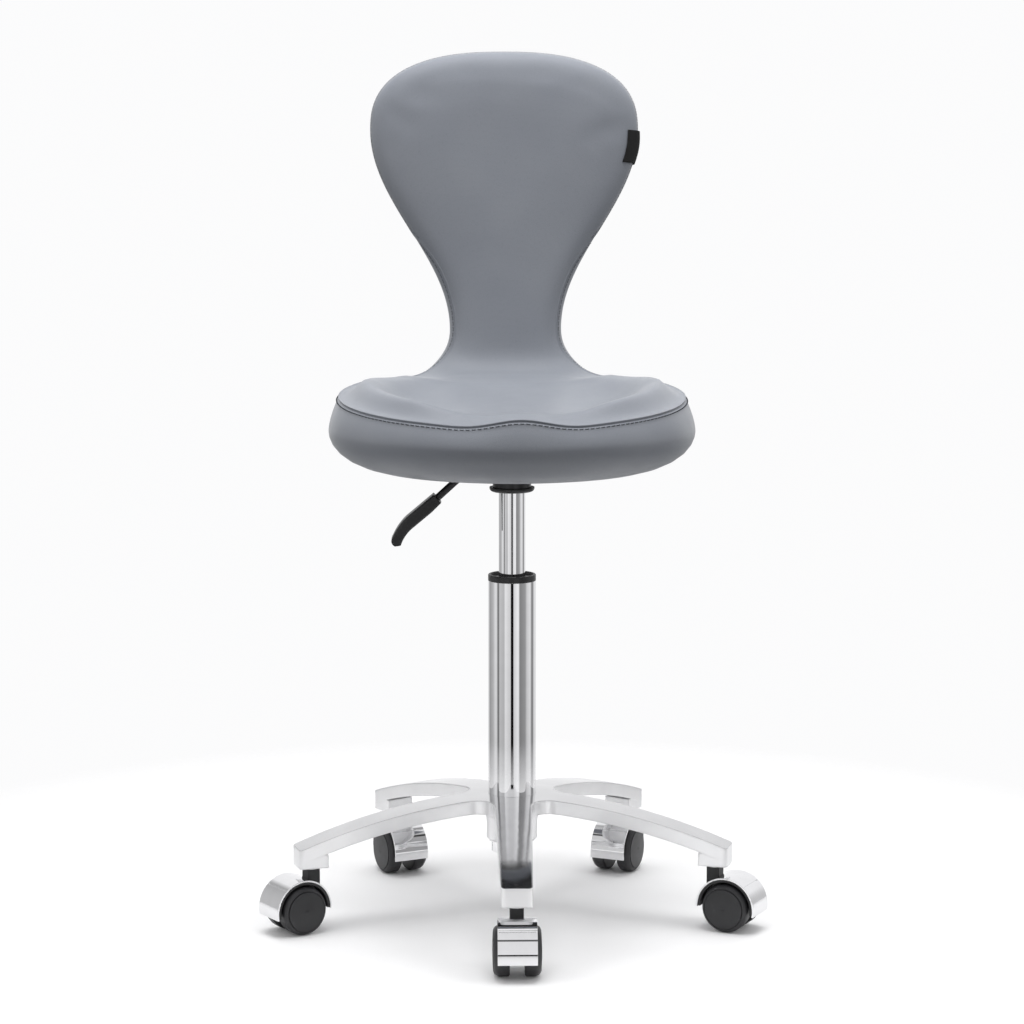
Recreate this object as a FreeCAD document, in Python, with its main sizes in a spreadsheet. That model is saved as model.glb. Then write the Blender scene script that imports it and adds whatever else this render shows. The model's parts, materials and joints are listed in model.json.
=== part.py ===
"""Dentist stool: swivelling, height-adjustable round seat with a low back on a five-caster base.

Millimetres, +Z up. The origin is on the floor under the column axis; the sitter faces -Y.
"""
import FreeCAD, Part
import math
import os
import re

import Sketcher
from FreeCAD import Placement, Rotation, Vector

LEG_COUNT = 5
LEG_STEP = 360.0 / LEG_COUNT
FIRST_LEG_AZIMUTH = -90.0
# Where each caster trails, as a compass angle about +Z, in leg order from the front leg.
CASTER_TRAIL_AZIMUTHS = (-90.0, -28.0, -115.0, -65.0, -147.0)
# Half width of the shell at some turns of the bend, in degrees.
BEND_HALF_WIDTHS = ((18, 118), (38, 104), (58, 84))
FLANK_STEPS = 5
# Share of the full thickness at shares of the height of the back's rounded top.
CROWN_THICKNESS = ((0.38, 1.0), (0.64, 0.97), (0.83, 0.83), (0.93, 0.6), (0.983, 0.3))

SIZES = {
    # five-star base
    "leg_end": 235.5,
    "leg_root_half": 20.4,
    "leg_tip_half": 15.7,
    "leg_wall": 3.2,
    "leg_depth": 14.5,
    "arch_start": 26.0,
    "arch_radius": 682.0,
    "hub_top": 127.0,
    "tip_top": 86.0,
    "tip_bottom": 66.5,
    "tip_length": 30.0,
    "crotch_radius": 21.0,
    "hub_radius": 26.6,
    "hub_bottom": 77.0,
    "tip_corner": 5.0,
    "blank_bottom": 55.0,
    "blank_height": 85.0,
    "taper_radius": 24.184,
    # casters
    "stem_reach": 220.0,
    "stem_radius": 5.5,
    "socket_radius": 7.5,
    "socket_depth": 17.0,
    "stem_collar": 8.2,
    "wheel_radius": 25.0,
    "wheel_width": 17.0,
    "wheel_gap": 15.0,
    "cap_radius": 20.5,
    "cap_dome": 0.9,
    "axle_radius": 3.0,
    "bore_floor": 4.0,
    "trail": 19.0,
    "web_width": 13.0,
    "hood_radius": 32.0,
    "hood_width": 39.0,
    "hood_sheet": 1.6,
    "hood_stem_angle": 182.0,
    "hood_far_angle": -11.0,
    "hood_groove_angle": 48.0,
    "hood_groove_depth": 0.7,
    "fender_wall": 2.8,
    "neck_width": 14.0,
    "neck_corner": 1.5,
    "neck_top": 63.8,
    "swivel_gap": 0.08,
    # column and gas lift
    "column_radius": 25.0,
    "column_bore": 22.0,
    "column_foot_radius": 21.8,
    "column_foot": 64.0,
    "column_floor": 4.0,
    "column_top": 353.5,
    "ring_height": 6.5,
    "sleeve_length": 66.0,
    "gas_radius": 14.0,
    "gas_bore": 12.5,
    "gas_bottom": 227.0,
    "gas_top": 464.0,
    "valve_block": 18.0,
    "guide_height": 13.0,
    "rod_radius": 5.0,
    "rod_foot_radius": 4.0,
    "rod_bottom": 60.0,
    "rod_top": 326.0,
    "piston_bottom": 312.0,
    "piston_height": 12.0,
    "seal_low": 4.5,
    "seal_high": 7.5,
    "sliding_gap": 0.1,
    "button_radius": 3.9,
    "button_top": 470.2,
    # thrust bearing at the foot of the rod
    "washer_radius": 14.0,
    "washer_sheet": 2.0,
    "ball_radius": 2.0,
    "ball_circle": 9.5,
    "bumper_radius": 16.0,
    "bumper_height": 16.0,
    # mechanism under the seat
    "plate_side": 150.0,
    "plate_sheet": 2.5,
    "plate_top": 481.0,
    "tray_length": 100.0,
    "tray_width": 80.0,
    "tray_bottom": 461.0,
    "socket_outer": 20.0,
    "socket_foot": 448.6,
    "cup_radius": 23.5,
    "cup_bottom": 447.0,
    "cup_top": 451.6,
    "bolt_spread": 60.0,
    "bolt_radius": 4.0,
    # release lever
    "lever_radius": 3.75,
    "lever_height": 474.0,
    "lever_bend": -40.7,
    "lever_pitch": 42.3,
    "lever_reach": 72.0,
    "pivot_offset": -30.0,
    "pivot_radius": 2.5,
    "boss_radius": 5.5,
    "boss_length": 14.0,
    "lever_nose": 3.0,
    "paddle_start": 50.0,
    "grip_width": 22.0,
    # upholstered shell
    "seat_radius": 190.0,
    "seat_waist": 512.0,
    "seat_side_radius": 184.5,
    "seat_side": 543.5,
    "seat_crest_radius": 176.0,
    "seat_crest": 575.0,
    "seat_dish": 535.5,
    "seat_tilt": 4.2,
    "dish_radius": 1500.0,
    "seat_rim_bottom": 471.0,
    "seat_rim_radius": 125.0,
    "recess_radius": 112.0,
    "board_bottom": 482.0,
    "board_sheet": 9.0,
    "board_radius": 163.0,
    "board_edge": 16.0,
    "board_depth": 14.0,
    "bend_start": 103.0,
    "bend_height": 508.0,
    "bend_radius": 80.0,
    "back_lean": 9.0,
    "back_thickness": 47.0,
    "back_half_width": 149.5,
    "back_wide_height": 818.0,
    "back_top": 904.0,
    "neck_half_width": 61.0,
    "neck_height": 602.0,
    "cover_sheet": 1.3,
    "foam_gap": 0.2,
    "tag_length": 38.0,
    "tag_fold": 9.0,
    "tag_sheet": 1.4,
    "tag_gap": 0.3,
    "tag_height": 779.0,
}

document = FreeCAD.newDocument("DentistStool")
sheet = document.addObject("Spreadsheet::Sheet", "Sizes")
for row, (alias, number) in enumerate(SIZES.items(), start=1):
    sheet.set(f"A{row}", alias.replace("_", " "))
    sheet.set(f"B{row}", str(number))
    sheet.setAlias(f"B{row}", alias)
document.recompute()

subparts = []


# ---------------------------------------------------------------- expressions and sketches

def on_sheet(text):
    """A size formula with its plain words turned into references to the sheet."""
    def named(word):
        return f"Sizes.{word[0]}" if word[0] in SIZES else word[0]

    return re.sub(r"[a-z][a-z_]+", named, str(text))


def bind(item, name, text):
    item.setExpression(name, on_sheet(text))


def value(text):
    """The number that a size formula gives now."""
    return float(sheet.evalExpression(on_sheet(text)))


def kept(item, label):
    """Register a finished sub-part under the name of its node."""
    item.Label = label
    subparts.append(item)
    return item


def new_body(name):
    return document.addObject("PartDesign::Body", name)


def new_sketch(body, name, role, lift=None):
    """A sketch on one of the body's own origin planes, lifted off it by a size formula."""
    sketch = body.newObject("Sketcher::SketchObject", name)
    plane = next(feature for feature in body.Origin.OriginFeatures if feature.Role == role)
    sketch.AttachmentSupport = [(plane, "")]
    sketch.MapMode = "FlatFace"
    if lift is not None:
        bind(sketch, "AttachmentOffset.Base.z", lift)
    return sketch


def pin_point(sketch, element, end, point):
    """Hold one point of a sketch at the two formulas in point."""
    for kind, formula in zip(("DistanceX", "DistanceY"), point):
        where = value(formula)
        if kind == "DistanceX" and where == 0:
            sketch.addConstraint(Sketcher.Constraint("PointOnObject", element, end, -2))
        elif where == 0:
            sketch.addConstraint(Sketcher.Constraint("PointOnObject", element, end, -1))
        else:
            index = sketch.addConstraint(Sketcher.Constraint(kind, -1, 1, element, end, where))
            bind(sketch, f"Constraints[{index}]", formula)


def arc_between(start, end, radius):
    """Minor arc from start to end; a positive radius has its centre on the left of the way."""
    chord = end - start
    half = chord.Length / 2
    left = Vector(-chord.y, chord.x, 0).normalize()
    height = math.sqrt(max(radius * radius - half * half, 0.0))
    centre = (start + end) / 2 + left * math.copysign(height, radius)
    first, last = (start, end) if radius > 0 else (end, start)
    first_angle = math.atan2(first.y - centre.y, first.x - centre.x)
    last_angle = math.atan2(last.y - centre.y, last.x - centre.x)
    if last_angle < first_angle:
        last_angle += 2 * math.pi
    circle = Part.Circle(centre, Vector(0, 0, 1), abs(radius))
    return Part.ArcOfCircle(circle, first_angle, last_angle)


def draw_outline(sketch, points, arcs=None):
    """Closed outline through points given as formulas; arcs maps a side to its signed radius."""
    arcs = arcs or {}
    places = [Vector(value(across), value(up), 0) for across, up in points]
    count = len(points)
    first_element = sketch.GeometryCount
    for side, start in enumerate(places):
        end = places[(side + 1) % count]
        if side in arcs:
            sketch.addGeometry(arc_between(start, end, value(arcs[side])), False)
        else:
            sketch.addGeometry(Part.LineSegment(start, end), False)
    for side in range(count):
        after = (side + 1) % count
        own_end = 1 if side in arcs and value(arcs[side]) < 0 else 2
        next_start = 2 if after in arcs and value(arcs[after]) < 0 else 1
        ends = (first_element + side, own_end, first_element + after, next_start)
        sketch.addConstraint(Sketcher.Constraint("Coincident", *ends))
    for side, point in enumerate(points):
        start = 2 if side in arcs and value(arcs[side]) < 0 else 1
        pin_point(sketch, first_element + side, start, point)
    for side, formula in arcs.items():
        size = Sketcher.Constraint("Radius", first_element + side, abs(value(formula)))
        index = sketch.addConstraint(size)
        bind(sketch, f"Constraints[{index}]", f"abs({formula})")


def draw_circle(sketch, radius, centre=("0", "0")):
    middle = Vector(value(centre[0]), value(centre[1]), 0)
    element = sketch.addGeometry(Part.Circle(middle, Vector(0, 0, 1), value(radius)), False)
    index = sketch.addConstraint(Sketcher.Constraint("Radius", element, value(radius)))
    bind(sketch, f"Constraints[{index}]", radius)
    pin_point(sketch, element, 3, centre)


# ---------------------------------------------------------------- features

def revolve(body, name, points, arcs=None, kind="PartDesign::Revolution", angle=360.0):
    """Turn a profile of (radius, height) formulas about the body's Z axis."""
    sketch = new_sketch(body, name + "Profile", "XZ_Plane")
    draw_outline(sketch, points, arcs)
    feature = body.newObject(kind, name)
    feature.Profile = sketch
    feature.ReferenceAxis = (sketch, ["V_Axis"])
    feature.Angle = angle
    return feature


def extrude(body, name, sketch, length, kind="PartDesign::Pad", symmetric=False, reverse=False):
    feature = body.newObject(kind, name)
    feature.Profile = sketch
    bind(feature, "Length", length)
    feature.SideType = "Symmetric" if symmetric else "One side"
    feature.Reversed = reverse
    return feature


def repeat_round(body, name, originals, count):
    """Polar pattern of features about the body's Z axis."""
    pattern = body.newObject("PartDesign::PolarPattern", name)
    pattern.Originals = originals
    axis = next(feature for feature in body.Origin.OriginFeatures if feature.Role == "Z_Axis")
    pattern.Axis = (axis, [""])
    pattern.Angle = 360
    pattern.Occurrences = count
    body.Tip = pattern
    return pattern


def round_edges(body, name, base, keep, radius, kind="PartDesign::Fillet"):
    """Fillet or chamfer the edges of base that the test keep accepts."""
    document.recompute()
    edges = [f"Edge{number}" for number, edge in enumerate(base.Shape.Edges, start=1) if keep(edge)]
    if not edges:
        raise RuntimeError(f"{name}: no edge to round")
    feature = body.newObject(kind, name)
    feature.Base = (base, edges)
    bind(feature, "Radius" if kind.endswith("Fillet") else "Size", radius)
    body.Tip = feature
    return feature


def turned(label, points, arcs=None):
    """A whole sub-part made by one turned profile."""
    body = new_body(label)
    revolve(body, label + "Turn", points, arcs)
    return kept(body, label)


def ring(label, inner, outer, bottom, top):
    """A plain ring between two radii and two heights."""
    return turned(label, [(inner, bottom), (outer, bottom), (outer, top), (inner, top)])


def group(label, master, placements):
    """Identical pieces in one node: a compound of placed links to a master body."""
    links = []
    for number, placement in enumerate(placements, start=1):
        link = document.addObject("App::Link", f"{label}_{number}")
        link.LinkedObject = master
        link.Placement = placement
        links.append(link)
    compound = document.addObject("Part::Compound", label)
    compound.Links = links
    return kept(compound, label)


def place(item, position, turn=None):
    item.Placement = Placement(position, turn or Rotation())


def is_upright(edge):
    """True for a straight edge parallel to Z."""
    if len(edge.Vertexes) != 2 or edge.Curve.TypeId != "Part::GeomLine":
        return False
    run = edge.Vertexes[1].Point - edge.Vertexes[0].Point
    return abs(run.z) > 0.999 * run.Length


def edge_reach(edge):
    """Distance of an edge's middle from the Z axis."""
    middle = edge.BoundBox.Center
    return math.hypot(middle.x, middle.y)


# ---------------------------------------------------------------- five-star base

def leg_azimuths():
    return [FIRST_LEG_AZIMUTH + LEG_STEP * leg for leg in range(LEG_COUNT)]


def leg_blank(body, name, inset, start, end):
    """Upright block with the plan of one leg, inset from the leg's sides."""
    sketch = new_sketch(body, name + "Plan", "XY_Plane", "blank_bottom")
    taper = "(leg_root_half - leg_tip_half) / leg_end"
    near = f"(leg_root_half - ({start}) * {taper} - {inset})"
    far = f"(leg_root_half - ({end}) * {taper} - {inset})"
    draw_outline(sketch, [(start, f"-{near}"), (end, f"-{far}"), (end, far), (start, near)])
    return extrude(body, name, sketch, "blank_height")


def arch_cut(body, name, drop, upper):
    """Remove what lies above (or below) the arched surface that is drop under the leg's top."""
    far = "leg_end + 10"
    level = "hub_top + 30" if upper else "hub_bottom - 40"
    outline = [
        ("0", f"hub_top - {drop}"),
        ("arch_start", f"hub_top - {drop}"),
        ("leg_end", f"tip_top - {drop}"),
        (far, f"tip_top - {drop} - 4"),
        (far, level),
        ("0", level),
    ]
    return revolve(body, name, outline, {1: "-arch_radius"}, kind="PartDesign::Groove")


def make_base_star():
    outer = new_body("StarOuter")
    blank = leg_blank(outer, "LegBlank", "0", "0", "leg_end")
    star = repeat_round(outer, "LegStar", [blank], LEG_COUNT)
    crotches = round_edges(outer, "Crotches", star, lambda edge: is_upright(edge) and edge_reach(edge) < 60,
                           "crotch_radius")
    round_edges(outer, "LegEnds", crotches, lambda edge: is_upright(edge) and edge_reach(edge) > 200,
                "tip_corner")
    arch_cut(outer, "ArchTop", "0", upper=True)
    arch_cut(outer, "ArchUnder", "leg_depth", upper=False)
    hub = [("0", "hub_bottom"), ("hub_radius - 2", "hub_bottom"), ("hub_radius", "hub_bottom + 2"),
           ("hub_radius", "hub_bottom + 14"), ("hub_radius + 6", "hub_top - leg_depth + 2"),
           ("hub_radius + 6", "hub_top - 4"), ("0", "hub_top - 4")]
    revolve(outer, "HubBoss", hub, {3: "-40"})
    tip_plan = new_sketch(outer, "TipPlan", "XY_Plane", "tip_bottom")
    draw_outline(tip_plan, [
        ("leg_end - tip_length", "-leg_tip_half"), ("leg_end - tip_corner", "-leg_tip_half"),
        ("leg_end", "-leg_tip_half + tip_corner"), ("leg_end", "leg_tip_half - tip_corner"),
        ("leg_end - tip_corner", "leg_tip_half"), ("leg_end - tip_length", "leg_tip_half"),
    ], {1: "tip_corner", 3: "tip_corner"})
    tip = extrude(outer, "Tip", tip_plan, "tip_top - tip_bottom - 6")
    bore_plan = new_sketch(outer, "SocketPlan", "XY_Plane", "tip_bottom")
    draw_circle(bore_plan, "socket_radius", ("stem_reach", "0"))
    bore = extrude(outer, "SocketBore", bore_plan, "socket_depth", kind="PartDesign::Pocket", reverse=True)
    repeat_round(outer, "Tips", [tip, bore], LEG_COUNT)
    revolve(outer, "ColumnSeat", [("0", "hub_bottom - 1"), ("taper_radius", "hub_bottom - 1"),
                                  ("column_radius", "hub_top"), ("column_radius", "hub_top + 1"),
                                  ("0", "hub_top + 1")], kind="PartDesign::Groove")
    core = new_body("StarCore")
    core.AllowCompound = True
    hollow = leg_blank(core, "CoreBlank", "leg_wall", "hub_radius + 10", "leg_end - tip_length - 4")
    repeat_round(core, "CoreStar", [hollow], LEG_COUNT)
    arch_cut(core, "CoreArch", "leg_wall", upper=True)
    star_cut = document.addObject("Part::Cut", "base_star")
    star_cut.Base = outer
    star_cut.Tool = core
    star_cut.Placement = Placement(Vector(), Rotation(Vector(0, 0, 1), FIRST_LEG_AZIMUTH))
    return kept(star_cut, "base_star")


def leg_tip_placements():
    return [Placement(Vector(), Rotation(Vector(0, 0, 1), azimuth))
            * Placement(Vector(value("stem_reach"), 0, 0), Rotation()) for azimuth in leg_azimuths()]


def make_caster_fittings():
    sleeve = new_body("SocketSleeve")
    revolve(sleeve, "SleeveTurn", [("stem_radius", "tip_bottom"), ("socket_radius", "tip_bottom"),
                                   ("socket_radius", "tip_bottom + socket_depth"),
                                   ("stem_radius", "tip_bottom + socket_depth")])
    group("stem_sockets", sleeve, leg_tip_placements())
    stem = new_body("Stem")
    revolve(stem, "StemTurn", [
        ("0", "neck_top - 18"), ("stem_radius - 0.6", "neck_top - 18"),
        ("stem_radius", "neck_top - 17.4"), ("stem_radius", "neck_top + 0.1"),
        ("stem_collar", "neck_top + 0.1"), ("stem_collar", "tip_bottom"),
        ("stem_radius", "tip_bottom"), ("stem_radius", "tip_bottom + socket_depth - 1"),
        ("stem_radius - 1", "tip_bottom + socket_depth"), ("0", "tip_bottom + socket_depth"),
    ])
    group("caster_stems", stem, leg_tip_placements())


# ---------------------------------------------------------------- casters

def hood_outline(inner, outer, front, rear):
    """Arc shell about the wheel axle, from the rear angle over the top to the front angle."""
    points = []
    for radius, angles in ((outer, (rear, "90", front)), (inner, (front, "90", rear))):
        for angle in angles:
            points.append((f"trail + ({radius}) * cos({angle})", f"wheel_radius + ({radius}) * sin({angle})"))
    arcs = {0: outer, 1: outer, 3: f"-({inner})", 4: f"-({inner})"}
    return points, arcs


def neck_square(body, name, half, lift):
    """Square plan about the stem, for the neck and for its slot in the hood."""
    sketch = new_sketch(body, name, "XY_Plane", lift)
    flat = f"({half} - neck_corner)"
    draw_outline(sketch, [
        (f"-{flat}", f"-({half})"), (flat, f"-({half})"), (half, f"-{flat}"), (half, flat),
        (flat, half), (f"-{flat}", half), (f"-({half})", flat), (f"-({half})", f"-{flat}"),
    ], {side: "neck_corner" for side in (1, 3, 5, 7)})
    return sketch


def make_hood(label, placement):
    body = new_body(label)
    section = new_sketch(body, label + "Section", "XZ_Plane")
    draw_outline(section, *hood_outline("hood_radius - hood_sheet", "hood_radius",
                                        "hood_stem_angle", "hood_far_angle"))
    extrude(body, label + "Shell", section, "hood_width", symmetric=True)
    slot = neck_square(body, label + "SlotPlan", "neck_width / 2 + 0.3", "wheel_radius")
    extrude(body, label + "Slot", slot, "60", kind="PartDesign::Pocket", reverse=True)
    groove = new_sketch(body, label + "GroovePlan", "XZ_Plane")
    end_angle = "(hood_groove_angle + 2.2)"
    corners = [("-hood_groove_depth", "hood_groove_angle"), ("2", "hood_groove_angle"),
               ("2", end_angle), ("-hood_groove_depth", end_angle)]
    draw_outline(groove, [(f"trail + (hood_radius + {out}) * cos({angle})",
                           f"wheel_radius + (hood_radius + {out}) * sin({angle})") for out, angle in corners])
    cut = extrude(body, label + "Groove", groove, "hood_width - 3", kind="PartDesign::Pocket", symmetric=True)
    body.Tip = cut
    body.Placement = placement
    return kept(body, label)


def make_housing(label, placement):
    """Black caster body: fender arc under the hood, web between the wheels and square neck."""
    body = new_body(label)
    fender = new_sketch(body, label + "FenderSection", "XZ_Plane")
    outer = "(hood_radius - hood_sheet)"
    draw_outline(fender, *hood_outline(f"{outer} - fender_wall", outer,
                                       "(hood_stem_angle - 1.5)", "(hood_far_angle + 2)"))
    extrude(body, label + "Fender", fender, "hood_width - 1", symmetric=True)
    web = new_sketch(body, label + "WebPlan", "XZ_Plane")
    rim = f"({outer} - 0.4)"
    foot = "2 * axle_radius"
    draw_outline(web, [
        (f"trail - {rim}", "wheel_radius"), ("trail", f"wheel_radius + {rim}"),
        (f"trail + {rim}", "wheel_radius"), (f"trail + {foot}", "wheel_radius"),
        ("trail", f"wheel_radius - {foot}"), (f"trail - {foot}", "wheel_radius"),
    ], {0: f"-{rim}", 1: f"-{rim}", 3: f"-{foot}", 4: f"-{foot}"})
    extrude(body, label + "Web", web, "web_width", symmetric=True)
    neck = neck_square(body, label + "NeckPlan", "neck_width / 2", "neck_top - 20")
    extrude(body, label + "Neck", neck, "20")
    stem_plan = new_sketch(body, label + "StemPlan", "XY_Plane", "neck_top - 18.4")
    draw_circle(stem_plan, "stem_radius + swivel_gap")
    extrude(body, label + "StemBore", stem_plan, "20", kind="PartDesign::Pocket", reverse=True)
    axle_plan = new_sketch(body, label + "AxlePlan", "XZ_Plane")
    draw_circle(axle_plan, "axle_radius", ("trail", "wheel_radius"))
    extrude(body, label + "AxleBore", axle_plan, "hood_width", kind="PartDesign::Pocket", symmetric=True)
    body.Placement = placement
    return kept(body, label)


def make_axle(label, placement):
    half = "(wheel_gap / 2 + wheel_width - bore_floor - 0.3)"
    body = turned(label, [
        ("0", f"-{half}"), ("axle_radius - 0.5", f"-{half}"), ("axle_radius", f"-{half} + 0.5"),
        ("axle_radius", f"{half} - 0.5"), ("axle_radius - 0.5", half), ("0", half),
    ])
    body.Placement = placement
    return body


def make_wheel(label, placement):
    """Wheel with a blind axle bore, a flat tread, a rounded shoulder and a grooved cap face."""
    bore = "axle_radius + 0.06"
    body = turned(label, [
        (bore, "0"),
        ("wheel_radius - 1.2", "0"),
        ("wheel_radius", "1.2"),
        ("wheel_radius", "wheel_width - 6.5"),
        ("cap_radius + 0.9", "wheel_width - 1.4"),
        ("cap_radius + 0.9", "wheel_width - 2.2"),
        ("cap_radius", "wheel_width - 2.2"),
        ("cap_radius", "wheel_width - cap_dome"),
        ("0", "wheel_width"),
        ("0", "wheel_width - bore_floor"),
        (bore, "wheel_width - bore_floor"),
    ], {3: "6.5", 7: "cap_radius * cap_radius / (2 * cap_dome) + cap_dome / 2"})
    body.Placement = placement
    return body


def make_caster(number, leg_azimuth, trail_azimuth):
    stem = Rotation(Vector(0, 0, 1), leg_azimuth).multVec(Vector(value("stem_reach"), 0, 0))
    swivel = Placement(stem, Rotation(Vector(0, 0, 1), trail_azimuth))
    name = f"caster_{number}"
    make_housing(f"{name}_housing", swivel)
    make_hood(f"{name}_hood", swivel)
    centre = Vector(value("trail"), 0, value("wheel_radius"))
    make_axle(f"{name}_axle", swivel * Placement(centre, Rotation(Vector(1, 0, 0), -90)))
    for side, sign in (("left", 1), ("right", -1)):
        offset = Vector(0, sign * value("wheel_gap") / 2, 0)
        facing = Rotation(Vector(1, 0, 0), -90 * sign)
        make_wheel(f"{name}_wheel_{side}", swivel * Placement(centre + offset, facing))


# ---------------------------------------------------------------- column and gas lift

def make_column():
    turned("column_tube", [
        ("rod_foot_radius + 0.2", "column_foot"),
        ("column_foot_radius - 1", "column_foot"),
        ("column_foot_radius", "column_foot + 1"),
        ("column_foot_radius", "hub_bottom - 1"),
        ("taper_radius", "hub_bottom - 1"),
        ("column_radius", "hub_top"),
        ("column_radius", "column_top"),
        ("column_bore", "column_top"),
        ("column_bore", "hub_top"),
        ("column_foot_radius - 2.5", "hub_bottom - 1"),
        ("column_foot_radius - 2.5", "column_foot + column_floor"),
        ("rod_foot_radius + 0.2", "column_foot + column_floor"),
    ])
    turned("guide_sleeve", [
        ("gas_radius + sliding_gap", "column_top - sleeve_length"),
        ("column_bore", "column_top - sleeve_length"),
        ("column_bore", "column_top"),
        ("column_radius", "column_top"),
        ("column_radius", "column_top + ring_height - 1"),
        ("column_radius - 1", "column_top + ring_height"),
        ("column_radius - 2.5", "column_top + ring_height"),
        ("column_radius - 3.5", "column_top + ring_height - 3"),
        ("gas_radius + 2", "column_top + ring_height - 3"),
        ("gas_radius + sliding_gap", "column_top + ring_height - 4"),
    ], {4: "1"})


def make_thrust_bearing():
    floor = "column_foot + column_floor"
    ball_height = f"{floor} + washer_sheet + ball_radius + 0.05"
    ring("thrust_washer_lower", "rod_radius + 0.5", "washer_radius", floor, f"{floor} + washer_sheet")
    cage = new_body("thrust_cage")
    revolve(cage, "CageRing", [("ball_circle - 3", f"{ball_height} - 0.7"),
                               ("ball_circle + 3", f"{ball_height} - 0.7"),
                               ("ball_circle + 3", f"{ball_height} + 0.7"),
                               ("ball_circle - 3", f"{ball_height} + 0.7")])
    hole_plan = new_sketch(cage, "BallHolePlan", "XY_Plane", f"{ball_height} - 2")
    draw_circle(hole_plan, "ball_radius + 0.1", ("ball_circle", "0"))
    hole = extrude(cage, "BallHole", hole_plan, "4", kind="PartDesign::Pocket", reverse=True)
    repeat_round(cage, "BallHoles", [hole], 8)
    kept(cage, "thrust_cage")
    ball = document.addObject("Part::Sphere", "Ball")
    bind(ball, "Radius", "ball_radius")
    spots = [Placement(Rotation(Vector(0, 0, 1), 45 * turn).multVec(Vector(value("ball_circle"), 0, 0))
                       + Vector(0, 0, value(ball_height)), Rotation()) for turn in range(8)]
    group("thrust_balls", ball, spots)
    upper = f"({floor} + washer_sheet + 2 * ball_radius + 0.1)"
    ring("thrust_washer_upper", "rod_foot_radius", "washer_radius", upper, f"{upper} + washer_sheet")
    shoulder = f"({upper} + washer_sheet)"
    ring("bumper", "rod_radius", "bumper_radius", shoulder, f"{shoulder} + bumper_height")
    return shoulder


def make_rod(shoulder):
    clip_top = "(column_foot - 0.4)"
    turned("piston_rod", [
        ("0", "rod_bottom"),
        ("rod_foot_radius - 0.6", "rod_bottom"),
        ("rod_foot_radius", "rod_bottom + 0.6"),
        ("rod_foot_radius", f"{clip_top} - 1.2"),
        ("rod_foot_radius - 0.8", f"{clip_top} - 1.2"),
        ("rod_foot_radius - 0.8", clip_top),
        ("rod_foot_radius", clip_top),
        ("rod_foot_radius", shoulder),
        ("rod_radius", shoulder),
        ("rod_radius", "rod_top - 1"),
        ("rod_radius - 1", "rod_top"),
        ("0", "rod_top"),
    ])
    ring("rod_clip", "rod_foot_radius - 0.8", "rod_foot_radius + 5", f"{clip_top} - 1.2", clip_top)
    seal_groove = "(gas_bore - 2)"
    turned("piston", [
        ("rod_radius", "piston_bottom"),
        ("gas_bore - 0.15", "piston_bottom"),
        ("gas_bore - 0.15", "piston_bottom + seal_low"),
        (seal_groove, "piston_bottom + seal_low"),
        (seal_groove, "piston_bottom + seal_high"),
        ("gas_bore - 0.15", "piston_bottom + seal_high"),
        ("gas_bore - 0.15", "piston_bottom + piston_height"),
        ("rod_radius", "piston_bottom + piston_height"),
    ])
    ring("piston_seal", seal_groove, "gas_bore - 0.05", "piston_bottom + seal_low", "piston_bottom + seal_high")


def make_gas_cylinder():
    turned("gas_cylinder", [
        ("gas_bore", "gas_bottom"),
        ("gas_radius - 0.5", "gas_bottom"),
        ("gas_radius", "gas_bottom + 0.5"),
        ("gas_radius", "gas_top - 1"),
        ("gas_radius - 1", "gas_top"),
        ("button_radius + sliding_gap", "gas_top"),
        ("button_radius + sliding_gap", "gas_top - valve_block"),
        ("gas_bore", "gas_top - valve_block"),
    ])
    ring("cylinder_end_guide", "rod_radius + sliding_gap", "gas_bore",
         "gas_bottom", "gas_bottom + guide_height")
    turned("release_button", [
        ("0", "gas_top - valve_block + 4.5"),
        ("button_radius", "gas_top - valve_block + 4.5"),
        ("button_radius", "button_top - 0.8"),
        ("button_radius - 0.8", "button_top"),
        ("0", "button_top"),
    ], {2: "0.8"})


# ---------------------------------------------------------------- mechanism and lever

def rectangle(sketch, half_length, half_width):
    draw_outline(sketch, [(f"-{half_length}", f"-{half_width}"), (half_length, f"-{half_width}"),
                          (half_length, half_width), (f"-{half_length}", half_width)])


def bolt_spots():
    spread = value("bolt_spread")
    return [Placement(Vector(x * spread, y * spread, 0), Rotation()) for x in (-1, 1) for y in (-1, 1)]


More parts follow.
